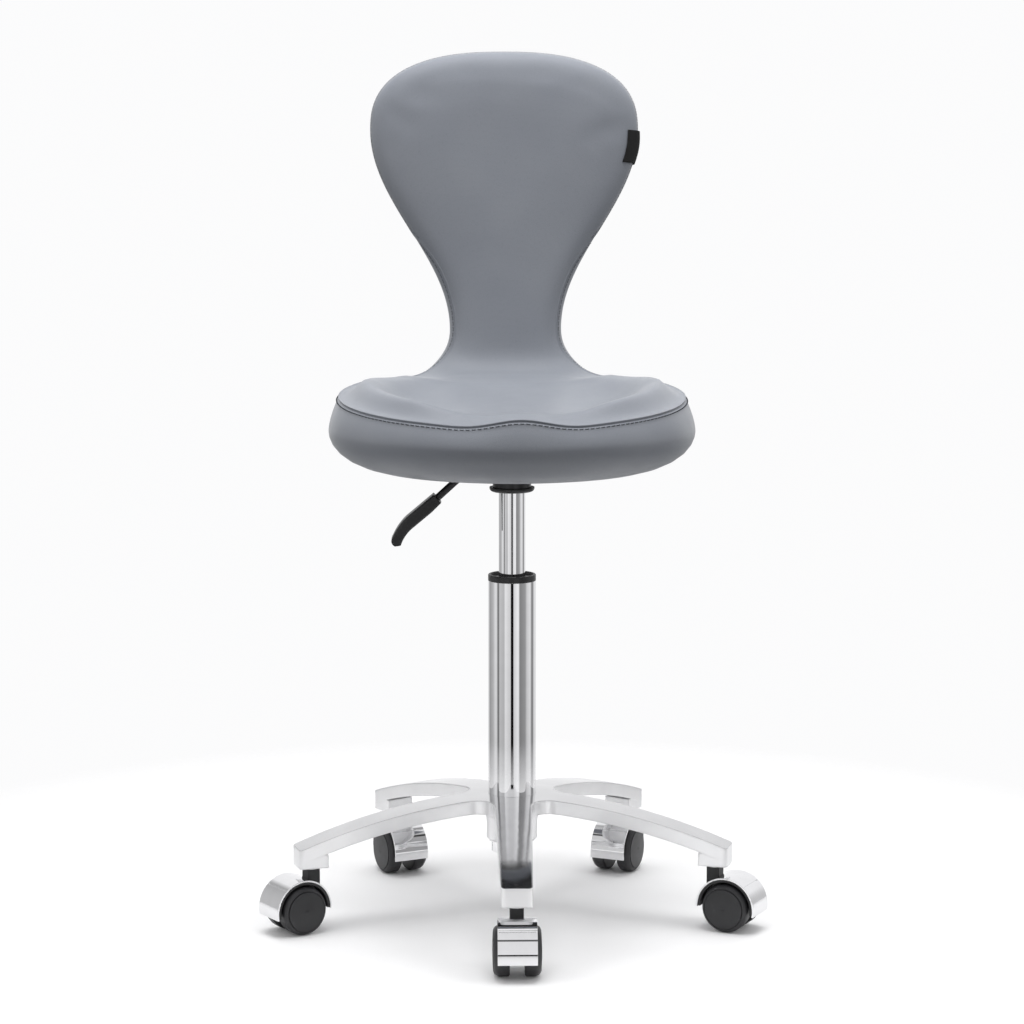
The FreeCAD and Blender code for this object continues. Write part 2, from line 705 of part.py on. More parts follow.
def make_seat_plate():
    """Pressed-steel plate with an open tray, the cylinder socket and four bolt holes."""
    body = new_body("seat_plate")
    flange = new_sketch(body, "FlangePlan", "XY_Plane", "plate_top - plate_sheet")
    rectangle(flange, "(plate_side / 2)", "(plate_side / 2)")
    flange_pad = extrude(body, "Flange", flange, "plate_sheet")
    round_edges(body, "FlangeCorners", flange_pad, is_upright, "12")
    tray = new_sketch(body, "TrayPlan", "XY_Plane", "tray_bottom")
    rectangle(tray, "(tray_length / 2)", "(tray_width / 2)")
    tray_pad = extrude(body, "Tray", tray, "plate_top - tray_bottom - plate_sheet / 2")
    round_edges(body, "TrayCorners", tray_pad, lambda edge: is_upright(edge) and edge_reach(edge) < 70, "8")
    hollow = new_sketch(body, "HollowPlan", "XY_Plane", "tray_bottom + plate_sheet")
    rectangle(hollow, "(tray_length / 2 - plate_sheet)", "(tray_width / 2 - plate_sheet)")
    extrude(body, "Hollow", hollow, "40", kind="PartDesign::Pocket", reverse=True)
    revolve(body, "Socket", [("0", "socket_foot"), ("socket_outer - 1.5", "socket_foot"),
                             ("socket_outer", "socket_foot + 1.5"),
                             ("socket_outer", "tray_bottom + plate_sheet + 2"),
                             ("0", "tray_bottom + plate_sheet + 2")])
    revolve(body, "SocketBore", [("0", "socket_foot - 1"), ("gas_radius", "socket_foot - 1"),
                                 ("gas_radius", "tray_bottom + plate_sheet + 3"),
                                 ("0", "tray_bottom + plate_sheet + 3")], kind="PartDesign::Groove")
    slot = new_sketch(body, "LeverSlotPlan", "XY_Plane", "tray_bottom - 1")
    draw_outline(slot, [("-tray_length / 2 - 2", "-8"), ("-tray_length / 2 + 8", "-8"),
                        ("-tray_length / 2 + 8", "8"), ("-tray_length / 2 - 2", "8")])
    extrude(body, "LeverSlot", slot, "plate_top - plate_sheet - tray_bottom + 1", kind="PartDesign::Pocket",
            reverse=True)
    pin = new_sketch(body, "PivotPlan", "XZ_Plane")
    draw_circle(pin, "pivot_radius", ("pivot_offset", "lever_height"))
    extrude(body, "PivotBore", pin, "tray_width + 10", kind="PartDesign::Pocket", symmetric=True)
    hole = new_sketch(body, "BoltPlan", "XY_Plane", "plate_top - plate_sheet - 1")
    for x in ("", "-"):
        for y in ("", "-"):
            draw_circle(hole, "bolt_radius + 0.3", (f"{x}bolt_spread", f"{y}bolt_spread"))
    extrude(body, "BoltHoles", hole, "plate_sheet + 2", kind="PartDesign::Pocket", reverse=True)
    return kept(body, "seat_plate")


def make_plate_fasteners():
    under = "plate_top - plate_sheet"
    bolt = new_body("PlateBolt")
    head = new_sketch(bolt, "HeadPlan", "XY_Plane", f"{under} - 5.3")
    corner = "(bolt_radius * 1.876)"
    points = [(f"{corner} * cos({60 * turn})", f"{corner} * sin({60 * turn})") for turn in range(6)]
    draw_outline(head, points)
    extrude(bolt, "Head", head, "5.3")
    revolve(bolt, "Shank", [("0", f"{under} - 1"), ("bolt_radius", f"{under} - 1"),
                            ("bolt_radius", "board_bottom + 7"), ("bolt_radius - 1", "board_bottom + 8"),
                            ("0", "board_bottom + 8")])
    group("plate_bolts", bolt, bolt_spots())
    nut = new_body("TeeNut")
    revolve(nut, "NutTurn", [("bolt_radius", "board_bottom"), ("bolt_radius + 1.5", "board_bottom"),
                             ("bolt_radius + 1.5", "board_bottom + board_sheet"),
                             ("bolt_radius + 6", "board_bottom + board_sheet"),
                             ("bolt_radius + 6", "board_bottom + board_sheet + 1.2"),
                             ("bolt_radius", "board_bottom + board_sheet + 1.2")])
    group("t_nuts", nut, bolt_spots())


def make_socket_cover():
    turned("socket_cover", [
        ("gas_radius + 0.4", "cup_bottom"),
        ("cup_radius - 4", "cup_bottom"),
        ("cup_radius", "cup_bottom + 3.5"),
        ("cup_radius", "cup_top"),
        ("socket_outer", "cup_top"),
        ("socket_outer", "socket_foot + 1.5"),
        ("socket_outer - 1.5", "socket_foot"),
        ("gas_radius + 0.4", "socket_foot"),
    ], {1: "4"})


def make_lever():
    """Bent steel rod on a cross pin, with a curved plastic paddle."""
    rod = new_body("lever_rod")
    path = new_sketch(rod, "RodPath", "XZ_Plane")
    bend = Vector(value("lever_bend"), value("lever_height"), 0)
    pitch = math.radians(value("lever_pitch"))
    tip = bend + Vector(-math.cos(pitch), -math.sin(pitch), 0) * value("lever_reach")
    path.addGeometry(Part.LineSegment(Vector(value("lever_nose"), bend.y, 0), bend), False)
    path.addGeometry(Part.LineSegment(bend, tip), False)
    path.addConstraint(Sketcher.Constraint("Coincident", 0, 2, 1, 1))
    pin_point(path, 0, 1, ("lever_nose", "lever_height"))
    pin_point(path, 1, 1, ("lever_bend", "lever_height"))
    pin_point(path, 1, 2, ("lever_bend - lever_reach * cos(lever_pitch)",
                           "lever_height - lever_reach * sin(lever_pitch)"))
    section = new_sketch(rod, "RodSection", "YZ_Plane", "lever_nose")
    draw_circle(section, "lever_radius", ("0", "lever_height"))
    pipe = rod.newObject("PartDesign::AdditivePipe", "RodPipe")
    pipe.Profile = section
    pipe.Spine = (path, [])
    pipe.Transition = "Round corner"
    boss = new_sketch(rod, "BossPlan", "XZ_Plane")
    draw_circle(boss, "boss_radius", ("pivot_offset", "lever_height"))
    extrude(rod, "Boss", boss, "boss_length", symmetric=True)
    bore = new_sketch(rod, "BossBorePlan", "XZ_Plane")
    draw_circle(bore, "pivot_radius + 0.06", ("pivot_offset", "lever_height"))
    extrude(rod, "BossBore", bore, "boss_length + 6", kind="PartDesign::Pocket", symmetric=True)
    kept(rod, "lever_rod")
    make_paddle()
    pivot = turned("lever_pivot", [("0", "-tray_width / 2 - 1.5"), ("pivot_radius", "-tray_width / 2 - 1.5"),
                                   ("pivot_radius", "tray_width / 2 + 1.5"), ("0", "tray_width / 2 + 1.5")])
    place(pivot, Vector(value("pivot_offset"), 0, value("lever_height")), Rotation(Vector(1, 0, 0), 90))


def make_paddle():
    """Paddle drawn in the rod's own direction: X runs outwards along the rod, Z across it."""
    body = new_body("lever_paddle")
    plan = new_sketch(body, "PaddlePlan", "XZ_Plane")
    draw_outline(plan, [("0", "-6"), ("0", "6"), ("10", "6.4"), ("37", "7.5"), ("62", "1.5"),
                        ("66", "-7"), ("61", "-10.5"), ("39", "-5.5"), ("14", "-6.6")],
                 {3: "-62", 4: "-6", 6: "40"})
    blade = extrude(body, "Blade", plan, "grip_width", symmetric=True)
    round_edges(body, "BladeEdges", blade,
                lambda edge: edge.BoundBox.YLength < 0.01 and edge.Length > 12.5, "3")
    bore = new_sketch(body, "RodBorePlan", "YZ_Plane", "-1")
    draw_circle(bore, "lever_radius", ("0", "0"))
    extrude(body, "RodBore", bore, "lever_reach - paddle_start + 1", kind="PartDesign::Pocket", reverse=True)
    pitch = value("lever_pitch")
    reach = Vector(-math.cos(math.radians(pitch)), 0, -math.sin(math.radians(pitch)))
    start = Vector(value("lever_bend"), 0, value("lever_height")) + reach * value("paddle_start")
    heading = Rotation(Vector(0, 0, 1), 180) * Rotation(Vector(0, 1, 0), pitch)
    place(body, start, heading)
    return kept(body, "lever_paddle")


# ---------------------------------------------------------------- upholstered shell

def back_half_width(height):
    """Front outline of the back: a cosine flank from the neck, a superellipse over the top."""
    neck = value("neck_half_width")
    wide = value("back_half_width")
    wide_height = value("back_wide_height")
    if height <= value("neck_height"):
        return neck
    if height < wide_height:
        rise = ((height - value("neck_height")) / (wide_height - value("neck_height"))) ** 0.93
        return neck + (wide - neck) * (0.5 - 0.5 * math.cos(math.pi * rise))
    over = min((height - wide_height) / (value("back_top") - wide_height), 1.0)
    return wide * (1 - over ** 2.5) ** 0.4


def spine_stations():
    """Centres of the shell from inside the seat, round the bend and up the leaning back.

    Each station is (centre, direction of travel, half width, share of the full thickness).
    """
    radius = value("bend_radius")
    start = Vector(0, value("bend_start"), value("bend_height"))
    lean = math.radians(value("back_lean"))
    last_turn = 90 - value("back_lean")
    stations = []
    for turn, half_width in (*BEND_HALF_WIDTHS, (last_turn, value("neck_half_width") + 5)):
        angle = math.radians(turn)
        centre = start + Vector(0, math.sin(angle), 1 - math.cos(angle)) * radius
        stations.append((centre, Vector(0, math.cos(angle), math.sin(angle)), half_width, 1.0))
    bend_end = stations[-1][0]
    heading = Vector(0, math.sin(lean), math.cos(lean))
    low, wide, top = value("neck_height"), value("back_wide_height"), value("back_top")
    flank = [(low + (wide - low) * step / FLANK_STEPS, 1.0) for step in range(FLANK_STEPS + 1)]
    crown = [(wide + (top - wide) * rise, share) for rise, share in CROWN_THICKNESS]
    for height, share in flank + crown:
        centre = bend_end + heading * ((height - bend_end.z) / heading.z)
        stations.append((centre, heading, back_half_width(height), share))
    return stations


def slab_wire(middle, heading, half_width, half_thickness):
    """Closed slab section with fully rounded edges, square to the spine."""
    normal = Vector(0, -heading.z, heading.y)
    radius = min(half_thickness, half_width - 1)
    across = Vector(half_width - radius, 0, 0)
    outward = Vector(half_width, 0, 0)
    up = normal * radius
    edges = [
        Part.LineSegment(middle - across + up, middle + across + up),
        Part.Arc(middle + across + up, middle + outward, middle + across - up),
        Part.LineSegment(middle + across - up, middle - across - up),
        Part.Arc(middle - across - up, middle - outward, middle - across + up),
    ]
    return Part.Wire([edge.toShape() for edge in edges])


def back_slab(inset):
    """Back, neck and bend as one loft, inset on every side."""
    wires = []
    stations = spine_stations()
    for number, (centre, heading, half_width, share) in enumerate(stations):
        half_thickness = value("back_thickness") / 2 * share - inset
        last = number == len(stations) - 1
        middle = centre - heading * inset if last else centre
        wires.append(slab_wire(middle, heading, half_width - inset, max(half_thickness, 2.0)))
    return Part.makeLoft(wires, True, False)


def seat_disc(inset):
    """Round seat cushion with a shallow top that is dished and tilts forwards, inset on every side."""
    rim = Vector(value("seat_radius") - inset, 0, value("seat_waist"))
    side = Vector(value("seat_side_radius") - inset, 0, value("seat_side"))
    crest = Vector(value("seat_crest_radius") - inset, 0, value("seat_crest"))
    floor = Vector(value("seat_rim_radius") + 0.3 * inset, 0, value("seat_rim_bottom") + inset)
    recess = Vector(value("recess_radius") + 0.5 * inset, 0, value("board_bottom") + inset)
    axis_low = Vector(0, 0, recess.z)
    axis_high = Vector(0, 0, crest.z)
    edges = [
        Part.LineSegment(axis_low, recess),
        Part.LineSegment(recess, floor),
        Part.Arc(floor, (floor + rim) / 2 + Vector(14, 0, -13), rim),
        Part.Arc(rim, side, crest),
        Part.LineSegment(crest, axis_high),
        Part.LineSegment(axis_high, axis_low),
    ]
    face = Part.Face(Part.Wire([edge.toShape() for edge in edges]))
    disc = face.revolve(Vector(), Vector(0, 0, 1), 360)
    tilt = math.radians(value("seat_tilt"))
    over = Vector(0, -math.sin(tilt), math.cos(tilt)) * value("dish_radius")
    centre = Vector(0, 0, value("seat_dish")) + over
    return disc.cut(Part.makeSphere(value("dish_radius") + inset, centre, Vector(1, 0, 0)))


def cushion(inset):
    """Seat and back together, as one closed form."""
    return seat_disc(inset).fuse(back_slab(inset)).removeSplitter()


def board_shape():
    """Moulded plywood: round seat board that turns up into the back."""
    bottom, ply = value("board_bottom"), value("board_sheet")
    disc = Part.makeCylinder(value("board_radius"), ply, Vector(0, 0, bottom))
    seat_level = bottom + ply / 2
    low_shift = value("bend_height") - seat_level
    back_shift = value("back_thickness") / 2 - value("board_depth")
    start = Vector(0, value("bend_start") - 25, seat_level)
    wires = [board_wire(start, Vector(0, 1, 0), 110, 0)]
    for number, (centre, heading, half_width, _) in enumerate(spine_stations()[:-3]):
        blend = min((number + 1) / 4, 1.0)
        shift = low_shift + (back_shift - low_shift) * blend
        wires.append(board_wire(centre, heading, half_width - value("board_edge"), shift))
    turned_up = Part.makeLoft(wires, True, True)
    holes = [Part.makeCylinder(value("bolt_radius") + 1.5, 40, spot.Base + Vector(0, 0, bottom - 10))
             for spot in bolt_spots()]
    return disc.fuse(turned_up).cut(Part.makeCompound(holes)).removeSplitter()


def board_wire(centre, heading, half_width, shift):
    """Plain rectangular section of the board, square to the spine."""
    normal = Vector(0, -heading.z, heading.y)
    middle = centre - normal * shift
    up = normal * (value("board_sheet") / 2)
    across = Vector(half_width, 0, 0)
    return Part.makePolygon([middle - across + up, middle + across + up, middle + across - up,
                             middle - across - up, middle - across + up])


def shaped(label, shape):
    """A sub-part whose free-form shape is set directly."""
    feature = document.addObject("Part::Feature", label)
    feature.Shape = shape
    place(feature, Vector())
    return kept(feature, label)


def single(shape):
    """The one solid of a result that holds just one."""
    if len(shape.Solids) != 1:
        raise RuntimeError(f"expected one solid, found {len(shape.Solids)}")
    return shape.Solids[0]


def make_upholstery():
    board = single(board_shape())
    shaped("shell_board", board)
    under_cover = value("cover_sheet") + value("foam_gap")
    nut_height = value("board_bottom") + value("board_sheet")
    nut_pockets = Part.makeCompound([
        Part.makeCylinder(value("bolt_radius") + 6, 1.5, spot.Base + Vector(0, 0, nut_height))
        for spot in bolt_spots()])
    recess = Part.makeCylinder(value("recess_radius"), 30, Vector(0, 0, value("board_bottom") - 28))
    seat = seat_disc(under_cover).cut(board).cut(nut_pockets)
    shaped("seat_foam", max(seat.Solids, key=lambda solid: solid.Volume))
    back = back_slab(under_cover).cut(seat_disc(under_cover)).cut(board)
    shaped("back_foam", max(back.Solids, key=lambda solid: solid.Volume))
    skin = cushion(0).cut(cushion(value("cover_sheet"))).cut(board).cut(recess)
    shaped("cover", max(skin.Solids, key=lambda solid: solid.Volume))


def make_dust_cover():
    body = new_body("dust_cover")
    revolve(body, "DustTurn", [("0", "plate_top + 0.1"), ("recess_radius - 1", "plate_top + 0.1"),
                               ("recess_radius - 1", "board_bottom"), ("0", "board_bottom")])
    holes = new_sketch(body, "DustHoles", "XY_Plane", "plate_top - 1")
    for x in ("", "-"):
        for y in ("", "-"):
            draw_circle(holes, "bolt_radius + 1.5", (f"{x}bolt_spread", f"{y}bolt_spread"))
    extrude(body, "DustHoleCut", holes, "4", kind="PartDesign::Pocket", reverse=True)
    return kept(body, "dust_cover")


def make_cover_tag():
    """Blank folded tag that follows the side edge of the back."""
    gap, thickness = value("tag_gap"), value("back_thickness")
    band = back_slab(-gap - value("tag_sheet")).cut(back_slab(-gap))
    low = value("tag_height")
    middle = low + value("tag_length") / 2
    front = Vector(back_half_width(middle) - value("tag_fold"), value("bend_start") + thickness, low)
    block = Part.makeBox(thickness, 4 * thickness, value("tag_length"), front)
    shaped("cover_tag", single(band.common(block)))


# ---------------------------------------------------------------- whole stool

def check_document():
    """Stop if any object failed or any sub-part has no valid shape."""
    for item in document.Objects:
        failed = [state for state in item.State if state in ("Invalid", "Error")]
        if failed:
            raise RuntimeError(f"{item.Label} is {failed[0]}")
    for item in subparts:
        shape = Part.getShape(item)
        if shape.isNull() or not shape.isValid() or not shape.Solids:
            raise RuntimeError(f"{item.Label} has no valid solid")


def build():
    make_base_star()
    make_caster_fittings()
    for number, leg_azimuth in enumerate(leg_azimuths(), start=1):
        make_caster(number, leg_azimuth, CASTER_TRAIL_AZIMUTHS[number - 1])
    make_column()
    make_rod(make_thrust_bearing())
    make_gas_cylinder()
    make_seat_plate()
    make_plate_fasteners()
    make_socket_cover()
    make_lever()
    make_upholstery()
    make_dust_cover()
    make_cover_tag()
    document.recompute()
    check_document()


def write_parts():
    os.makedirs("parts", exist_ok=True)
    for item in subparts:
        Part.getShape(item).exportStep(f"parts/{item.Label}.step")
        print(f"{item.Label}: {Part.getShape(item).Volume / 1000:.2f} cm3")


if __name__ == "__main__":
    build()
    write_parts()
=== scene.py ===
"""Dentist stool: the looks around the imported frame. Metres, +Z up, the sitter faces -Y."""
import json
import math

import bmesh
import bpy
import numpy as np
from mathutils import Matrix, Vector
from mathutils.bvhtree import BVHTree
from mathutils.kdtree import KDTree


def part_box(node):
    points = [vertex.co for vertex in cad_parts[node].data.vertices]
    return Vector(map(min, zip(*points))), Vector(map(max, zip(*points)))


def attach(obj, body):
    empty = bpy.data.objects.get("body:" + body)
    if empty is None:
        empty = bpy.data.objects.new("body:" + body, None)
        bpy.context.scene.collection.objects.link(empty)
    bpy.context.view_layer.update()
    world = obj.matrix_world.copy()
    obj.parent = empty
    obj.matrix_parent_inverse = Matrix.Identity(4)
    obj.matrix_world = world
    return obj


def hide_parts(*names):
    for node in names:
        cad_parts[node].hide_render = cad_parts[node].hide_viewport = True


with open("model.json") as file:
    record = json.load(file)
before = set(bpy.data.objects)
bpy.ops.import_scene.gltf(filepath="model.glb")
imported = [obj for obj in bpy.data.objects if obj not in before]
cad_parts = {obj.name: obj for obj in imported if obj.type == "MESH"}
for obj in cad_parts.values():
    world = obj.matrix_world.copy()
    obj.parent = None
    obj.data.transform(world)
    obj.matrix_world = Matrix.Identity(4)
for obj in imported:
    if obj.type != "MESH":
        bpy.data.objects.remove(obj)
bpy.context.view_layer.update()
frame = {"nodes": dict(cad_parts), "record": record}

nodes = frame["nodes"]

# ---------------------------------------------------------------- driving sizes

cover_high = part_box("cover")[1]

# Seat, seen about the column's axis.
SEAT_RADIUS = cover_high.x
SEAT_LEVEL = 0.510
SEAT_YAW = math.radians(1.0)
SEAT_TILT = 0.074
CREST_REACH = 0.150
WAIST_LIFT = 0.002
RIM_RADIUS = 0.119
RIM_ROUND = 2 / 2.05
RIM_DROP = 0.039
RECESS_RADIUS = 0.112
RECESS_DROP = 0.0272

# Bend, neck and head.
BEND_START = 0.103
BEND_RADIUS = 0.080
LEAN = math.radians(9)
SLAB_HALF = 0.0235
NECK_HALF = 0.061
NECK_HEIGHT = 0.602
HEAD_HALF = 0.1465
WIDE_HEIGHT = 0.818
TOP_HEIGHT = cover_high.z - 0.0012
FLARE_LEAVE = 0.105
FLARE_ARRIVE = 0.037
CROWN_POWER = 0.8

# Seams. BAND_END is how far along the spine the side band reaches.
SEAM_LIFT = 0.036
SEAM_INSET = 0.011
SIDE_INSET = 0.0062
SEAM_CREST = 0.0045
BAND_END = 0.335
PATCH_REACH = 0.030
RECESS_PATCH = 0.022

# Stitches and the tag.
STITCH_DROP = 0.0038
STITCH_PITCH = 0.0060
STITCH_LENGTH = 0.0038
TAG_REACH = 0.0125
TAG_LOOP = 0.0016
TAG_SHEET = 0.0007

# Cloth skin that the stuffing blows up.
SKIN_CELL = 0.006
SEAM_HOLD = 0.007
CLOTH_FRAMES = 20
FILL_CAP = 0.006
FILL_SHARE = 0.45
FILL_NEIGHBOURS = 24

# How far the board stays inside the cushion, and how far out it is looked for.
BOARD_GAP = 0.0016
BOARD_REACH = 0.009
RECESS_MARGIN = 0.003
SPREAD_ROUNDS = 60

# Table of the spine. The bend sets in over EASE steps.
STEP = 0.0005
EASE = 81

BEND_SWEEP = math.pi / 2 - LEAN
BEND_LENGTH = BEND_RADIUS * BEND_SWEEP


def smooth(low, high, value):
    """Smooth step from 0 at low to 1 at high."""
    share = np.clip((np.asarray(value, float) - low) / (high - low), 0, 1)
    return share * share * (3 - 2 * share)


def mix(first, second, share):
    return first * (1 - share) + second * share


# ---------------------------------------------------------------- developed shell

stations = np.arange(-0.25, 0.75, STEP)
raw_heading = BEND_SWEEP * np.clip((stations - BEND_START) / BEND_LENGTH, 0, 1)
padded_heading = np.pad(raw_heading, EASE // 2, mode="edge")
heading_table = np.convolve(padded_heading, np.ones(EASE) / EASE, mode="valid")
spine_y = np.cumsum(np.cos(heading_table)) * STEP
spine_z = np.cumsum(np.sin(heading_table)) * STEP
spine_y -= np.interp(0, stations, spine_y)
spine_z += SEAT_LEVEL - np.interp(0, stations, spine_z)


def station_at(height):
    """Distance along the spine at which it reaches a height."""
    return float(np.interp(height, spine_z, stations))


def on_spine(across, along, lift):
    """Developed place (across, along the spine, lift off it) to the object's frame."""
    heading = np.interp(along, stations, heading_table)
    y = np.interp(along, stations, spine_y) - lift * np.sin(heading)
    z = np.interp(along, stations, spine_z) + lift * np.cos(heading)
    bent = np.stack([across, y, z], -1)
    flat = np.stack([across, along, SEAT_LEVEL + lift], -1)
    share = smooth(0.192, 0.158, np.hypot(across, along)) * smooth(0.0, -0.006, lift)
    place = mix(bent, flat, share[..., None])
    turned_x = place[..., 0] * math.cos(SEAT_YAW) - place[..., 1] * math.sin(SEAT_YAW)
    turned_y = place[..., 0] * math.sin(SEAT_YAW) + place[..., 1] * math.cos(SEAT_YAW)
    return np.stack([turned_x, turned_y, place[..., 2]], -1)


NECK_AT = station_at(NECK_HEIGHT)
WIDE_AT = station_at(WIDE_HEIGHT)
TOP_AT = station_at(TOP_HEIGHT)
LEAVE = math.radians(35)


def half_outline():
    """Outline of the developed shell for across >= 0, from the seat's front to the head's top."""
    angle = np.linspace(-math.pi / 2, LEAVE, 600)
    circle = SEAT_RADIUS * np.stack([np.cos(angle), np.sin(angle)], -1)
    start = circle[-1]
    leave = start + FLARE_LEAVE * np.array([-math.sin(LEAVE), math.cos(LEAVE)])
    neck = np.array([NECK_HALF, NECK_AT])
    arrive = neck - np.array([0, FLARE_ARRIVE])
    share = np.linspace(0, 1, 300)[1:, None]
    flare = ((1 - share) ** 3 * start + 3 * (1 - share) ** 2 * share * leave
             + 3 * (1 - share) * share ** 2 * arrive + share ** 3 * neck)
    rise = np.linspace(0, 1, 400)[1:]
    flank_x = NECK_HALF + (HEAD_HALF - NECK_HALF) * (0.5 - 0.5 * np.cos(math.pi * rise))
    flank = np.stack([flank_x, NECK_AT + (WIDE_AT - NECK_AT) * rise], -1)
    turn = np.linspace(0, math.pi / 2, 500)[1:]
    crown_x = HEAD_HALF * np.cos(turn) ** CROWN_POWER
    crown_s = WIDE_AT + (TOP_AT - WIDE_AT) * np.sin(turn) ** CROWN_POWER
    crown_x[-1] = 0
    return np.concatenate([circle, flare, flank, np.stack([crown_x, crown_s], -1)])


half = half_outline()
flank_part = half[(half[:, 1] > SEAT_RADIUS * math.sin(LEAVE) * 0.2) & (half[:, 1] <= WIDE_AT)
                  & (np.arange(len(half)) > 300)]


def inside_share(across, along):
    """0 on the middle line, 1 on the outline, smooth in between."""
    wide = np.interp(along, flank_part[:, 1], flank_part[:, 0])
    by_width = np.abs(across) / wide
    by_circle = np.hypot(across, along) / SEAT_RADIUS
    over = np.maximum(along - WIDE_AT, 0) / (TOP_AT - WIDE_AT)
    by_crown = ((np.abs(across) / HEAD_HALF) ** 2.5 + over ** 2.5) ** 0.4
    share = mix(by_circle, by_width, smooth(0.025, 0.105, along))
    return np.where(along > WIDE_AT, by_crown, share)


def slab_lift(across, along):
    """Front face of the neck and the head: flat in the middle, round at the edges."""
    power = mix(4.0, 6.0, smooth(0.25, 0.40, along))
    fill = np.clip(1 - np.clip(inside_share(across, along), 0, 1) ** power, 0, 1)
    return SLAB_HALF * fill ** (1 / 2.2)


def seam_wave(across, along):
    """The seat's front seam rises over the pommel and dips beside it."""
    aside = across - SEAM_CREST
    hill = 0.0026 * np.exp(-(aside / 0.032) ** 2)
    dips = 0.0012 * np.exp(-((np.abs(aside) - 0.056) / 0.026) ** 2)
    wave = hill - dips
    return wave * smooth(-0.09, -0.16, along)


def seat_lift(across, along):
    """Top of the seat: raised soft rim, dish with two side hollows and a low front pommel."""
    reach = np.hypot(across, np.minimum(along, BEND_START))
    rim_plane = SEAM_LIFT + SEAT_TILT * along
    beside = smooth(0.02, 0.11, np.abs(across))
    beside = beside * (1 - 0.85 * smooth(0.0, 0.11, along))
    width = np.where(reach > CREST_REACH, 0.0150, 0.026)
    crest = (0.0030 + 0.0140 * beside) * np.exp(-((reach - CREST_REACH) / width) ** 2)
    dish = -0.0105 * (1 - np.clip(reach / CREST_REACH, 0, 1) ** 2.6)
    hollow = -0.0085 * np.exp(-((np.abs(across) - 0.080) / 0.040) ** 2 - ((along + 0.010) / 0.075) ** 2)
    pommel = 0.0045 * np.exp(-(across / 0.036) ** 2) * smooth(0.0, -0.12, along)
    wave = seam_wave(across, along) * smooth(0.10, 0.17, reach)
    return rim_plane + crest + dish + hollow + pommel + wave


def top_lift(across, along):
    return mix(seat_lift(across, along), slab_lift(across, along), smooth(0.095, 0.215, along))


def under_lift(across, along):
    """Underside: rounded rim round the flat recess, then the rear face of neck and head."""
    reach = np.hypot(across, along)
    rim = -RIM_DROP + (RIM_DROP - RECESS_DROP) * smooth(RIM_RADIUS, RECESS_RADIUS, reach)
    return mix(rim, -slab_lift(across, along), smooth(0.128, 0.235, along))


# ---------------------------------------------------------------- rings and rows

FRONT_CELLS = 60
SIDE_CELLS = 150
COLUMNS = 2 * (FRONT_CELLS + SIDE_CELLS)


def spread(points, count, by_width):
    """The polyline again, with count steps equal across or equal in length."""
    if by_width:
        run = points[:, 0] * (1 if points[-1, 0] > points[0, 0] else -1)
    else:
        run = np.concatenate([[0], np.cumsum(np.linalg.norm(np.diff(points, axis=0), axis=1))])
    even = np.linspace(run[0], run[-1], count + 1)
    return np.stack([np.interp(even, run, points[:, 0]), np.interp(even, run, points[:, 1])], -1)


front_corner = int(np.argmin(np.abs(half[:600] @ [1, 1])))
top_part = np.nonzero(half[:, 1] > WIDE_AT)[0]
top_tangent = np.gradient(half[top_part], axis=0)
top_corner = top_part[int(np.argmin(np.abs(top_tangent @ [1, 1])))]
right_side = np.concatenate([
    spread(half[:front_corner + 1], FRONT_CELLS // 2, True)[:-1],
    spread(half[front_corner:top_corner + 1], SIDE_CELLS, False)[:-1],
    spread(half[top_corner:], FRONT_CELLS // 2, True),
])
outline = np.concatenate([right_side, (right_side * [-1, 1])[-2:0:-1]])
ahead = np.roll(outline, -1, 0) - np.roll(outline, 1, 0)
ahead /= np.linalg.norm(ahead, axis=1)[:, None]
inward = np.stack([-ahead[:, 1], ahead[:, 0]], -1)
seat_share = 1 - smooth(0.10, 0.225, outline[:, 1])
head_share = smooth(0.300, 0.352, outline[:, 1])
seam_inset = mix(mix(SIDE_INSET, SEAM_INSET, seat_share), 0.0, head_share)
band_share = 1 - smooth(0.300, BAND_END, outline[:, 1])


def inset_point(inset):
    return outline + inward * np.asarray(inset)[..., None]


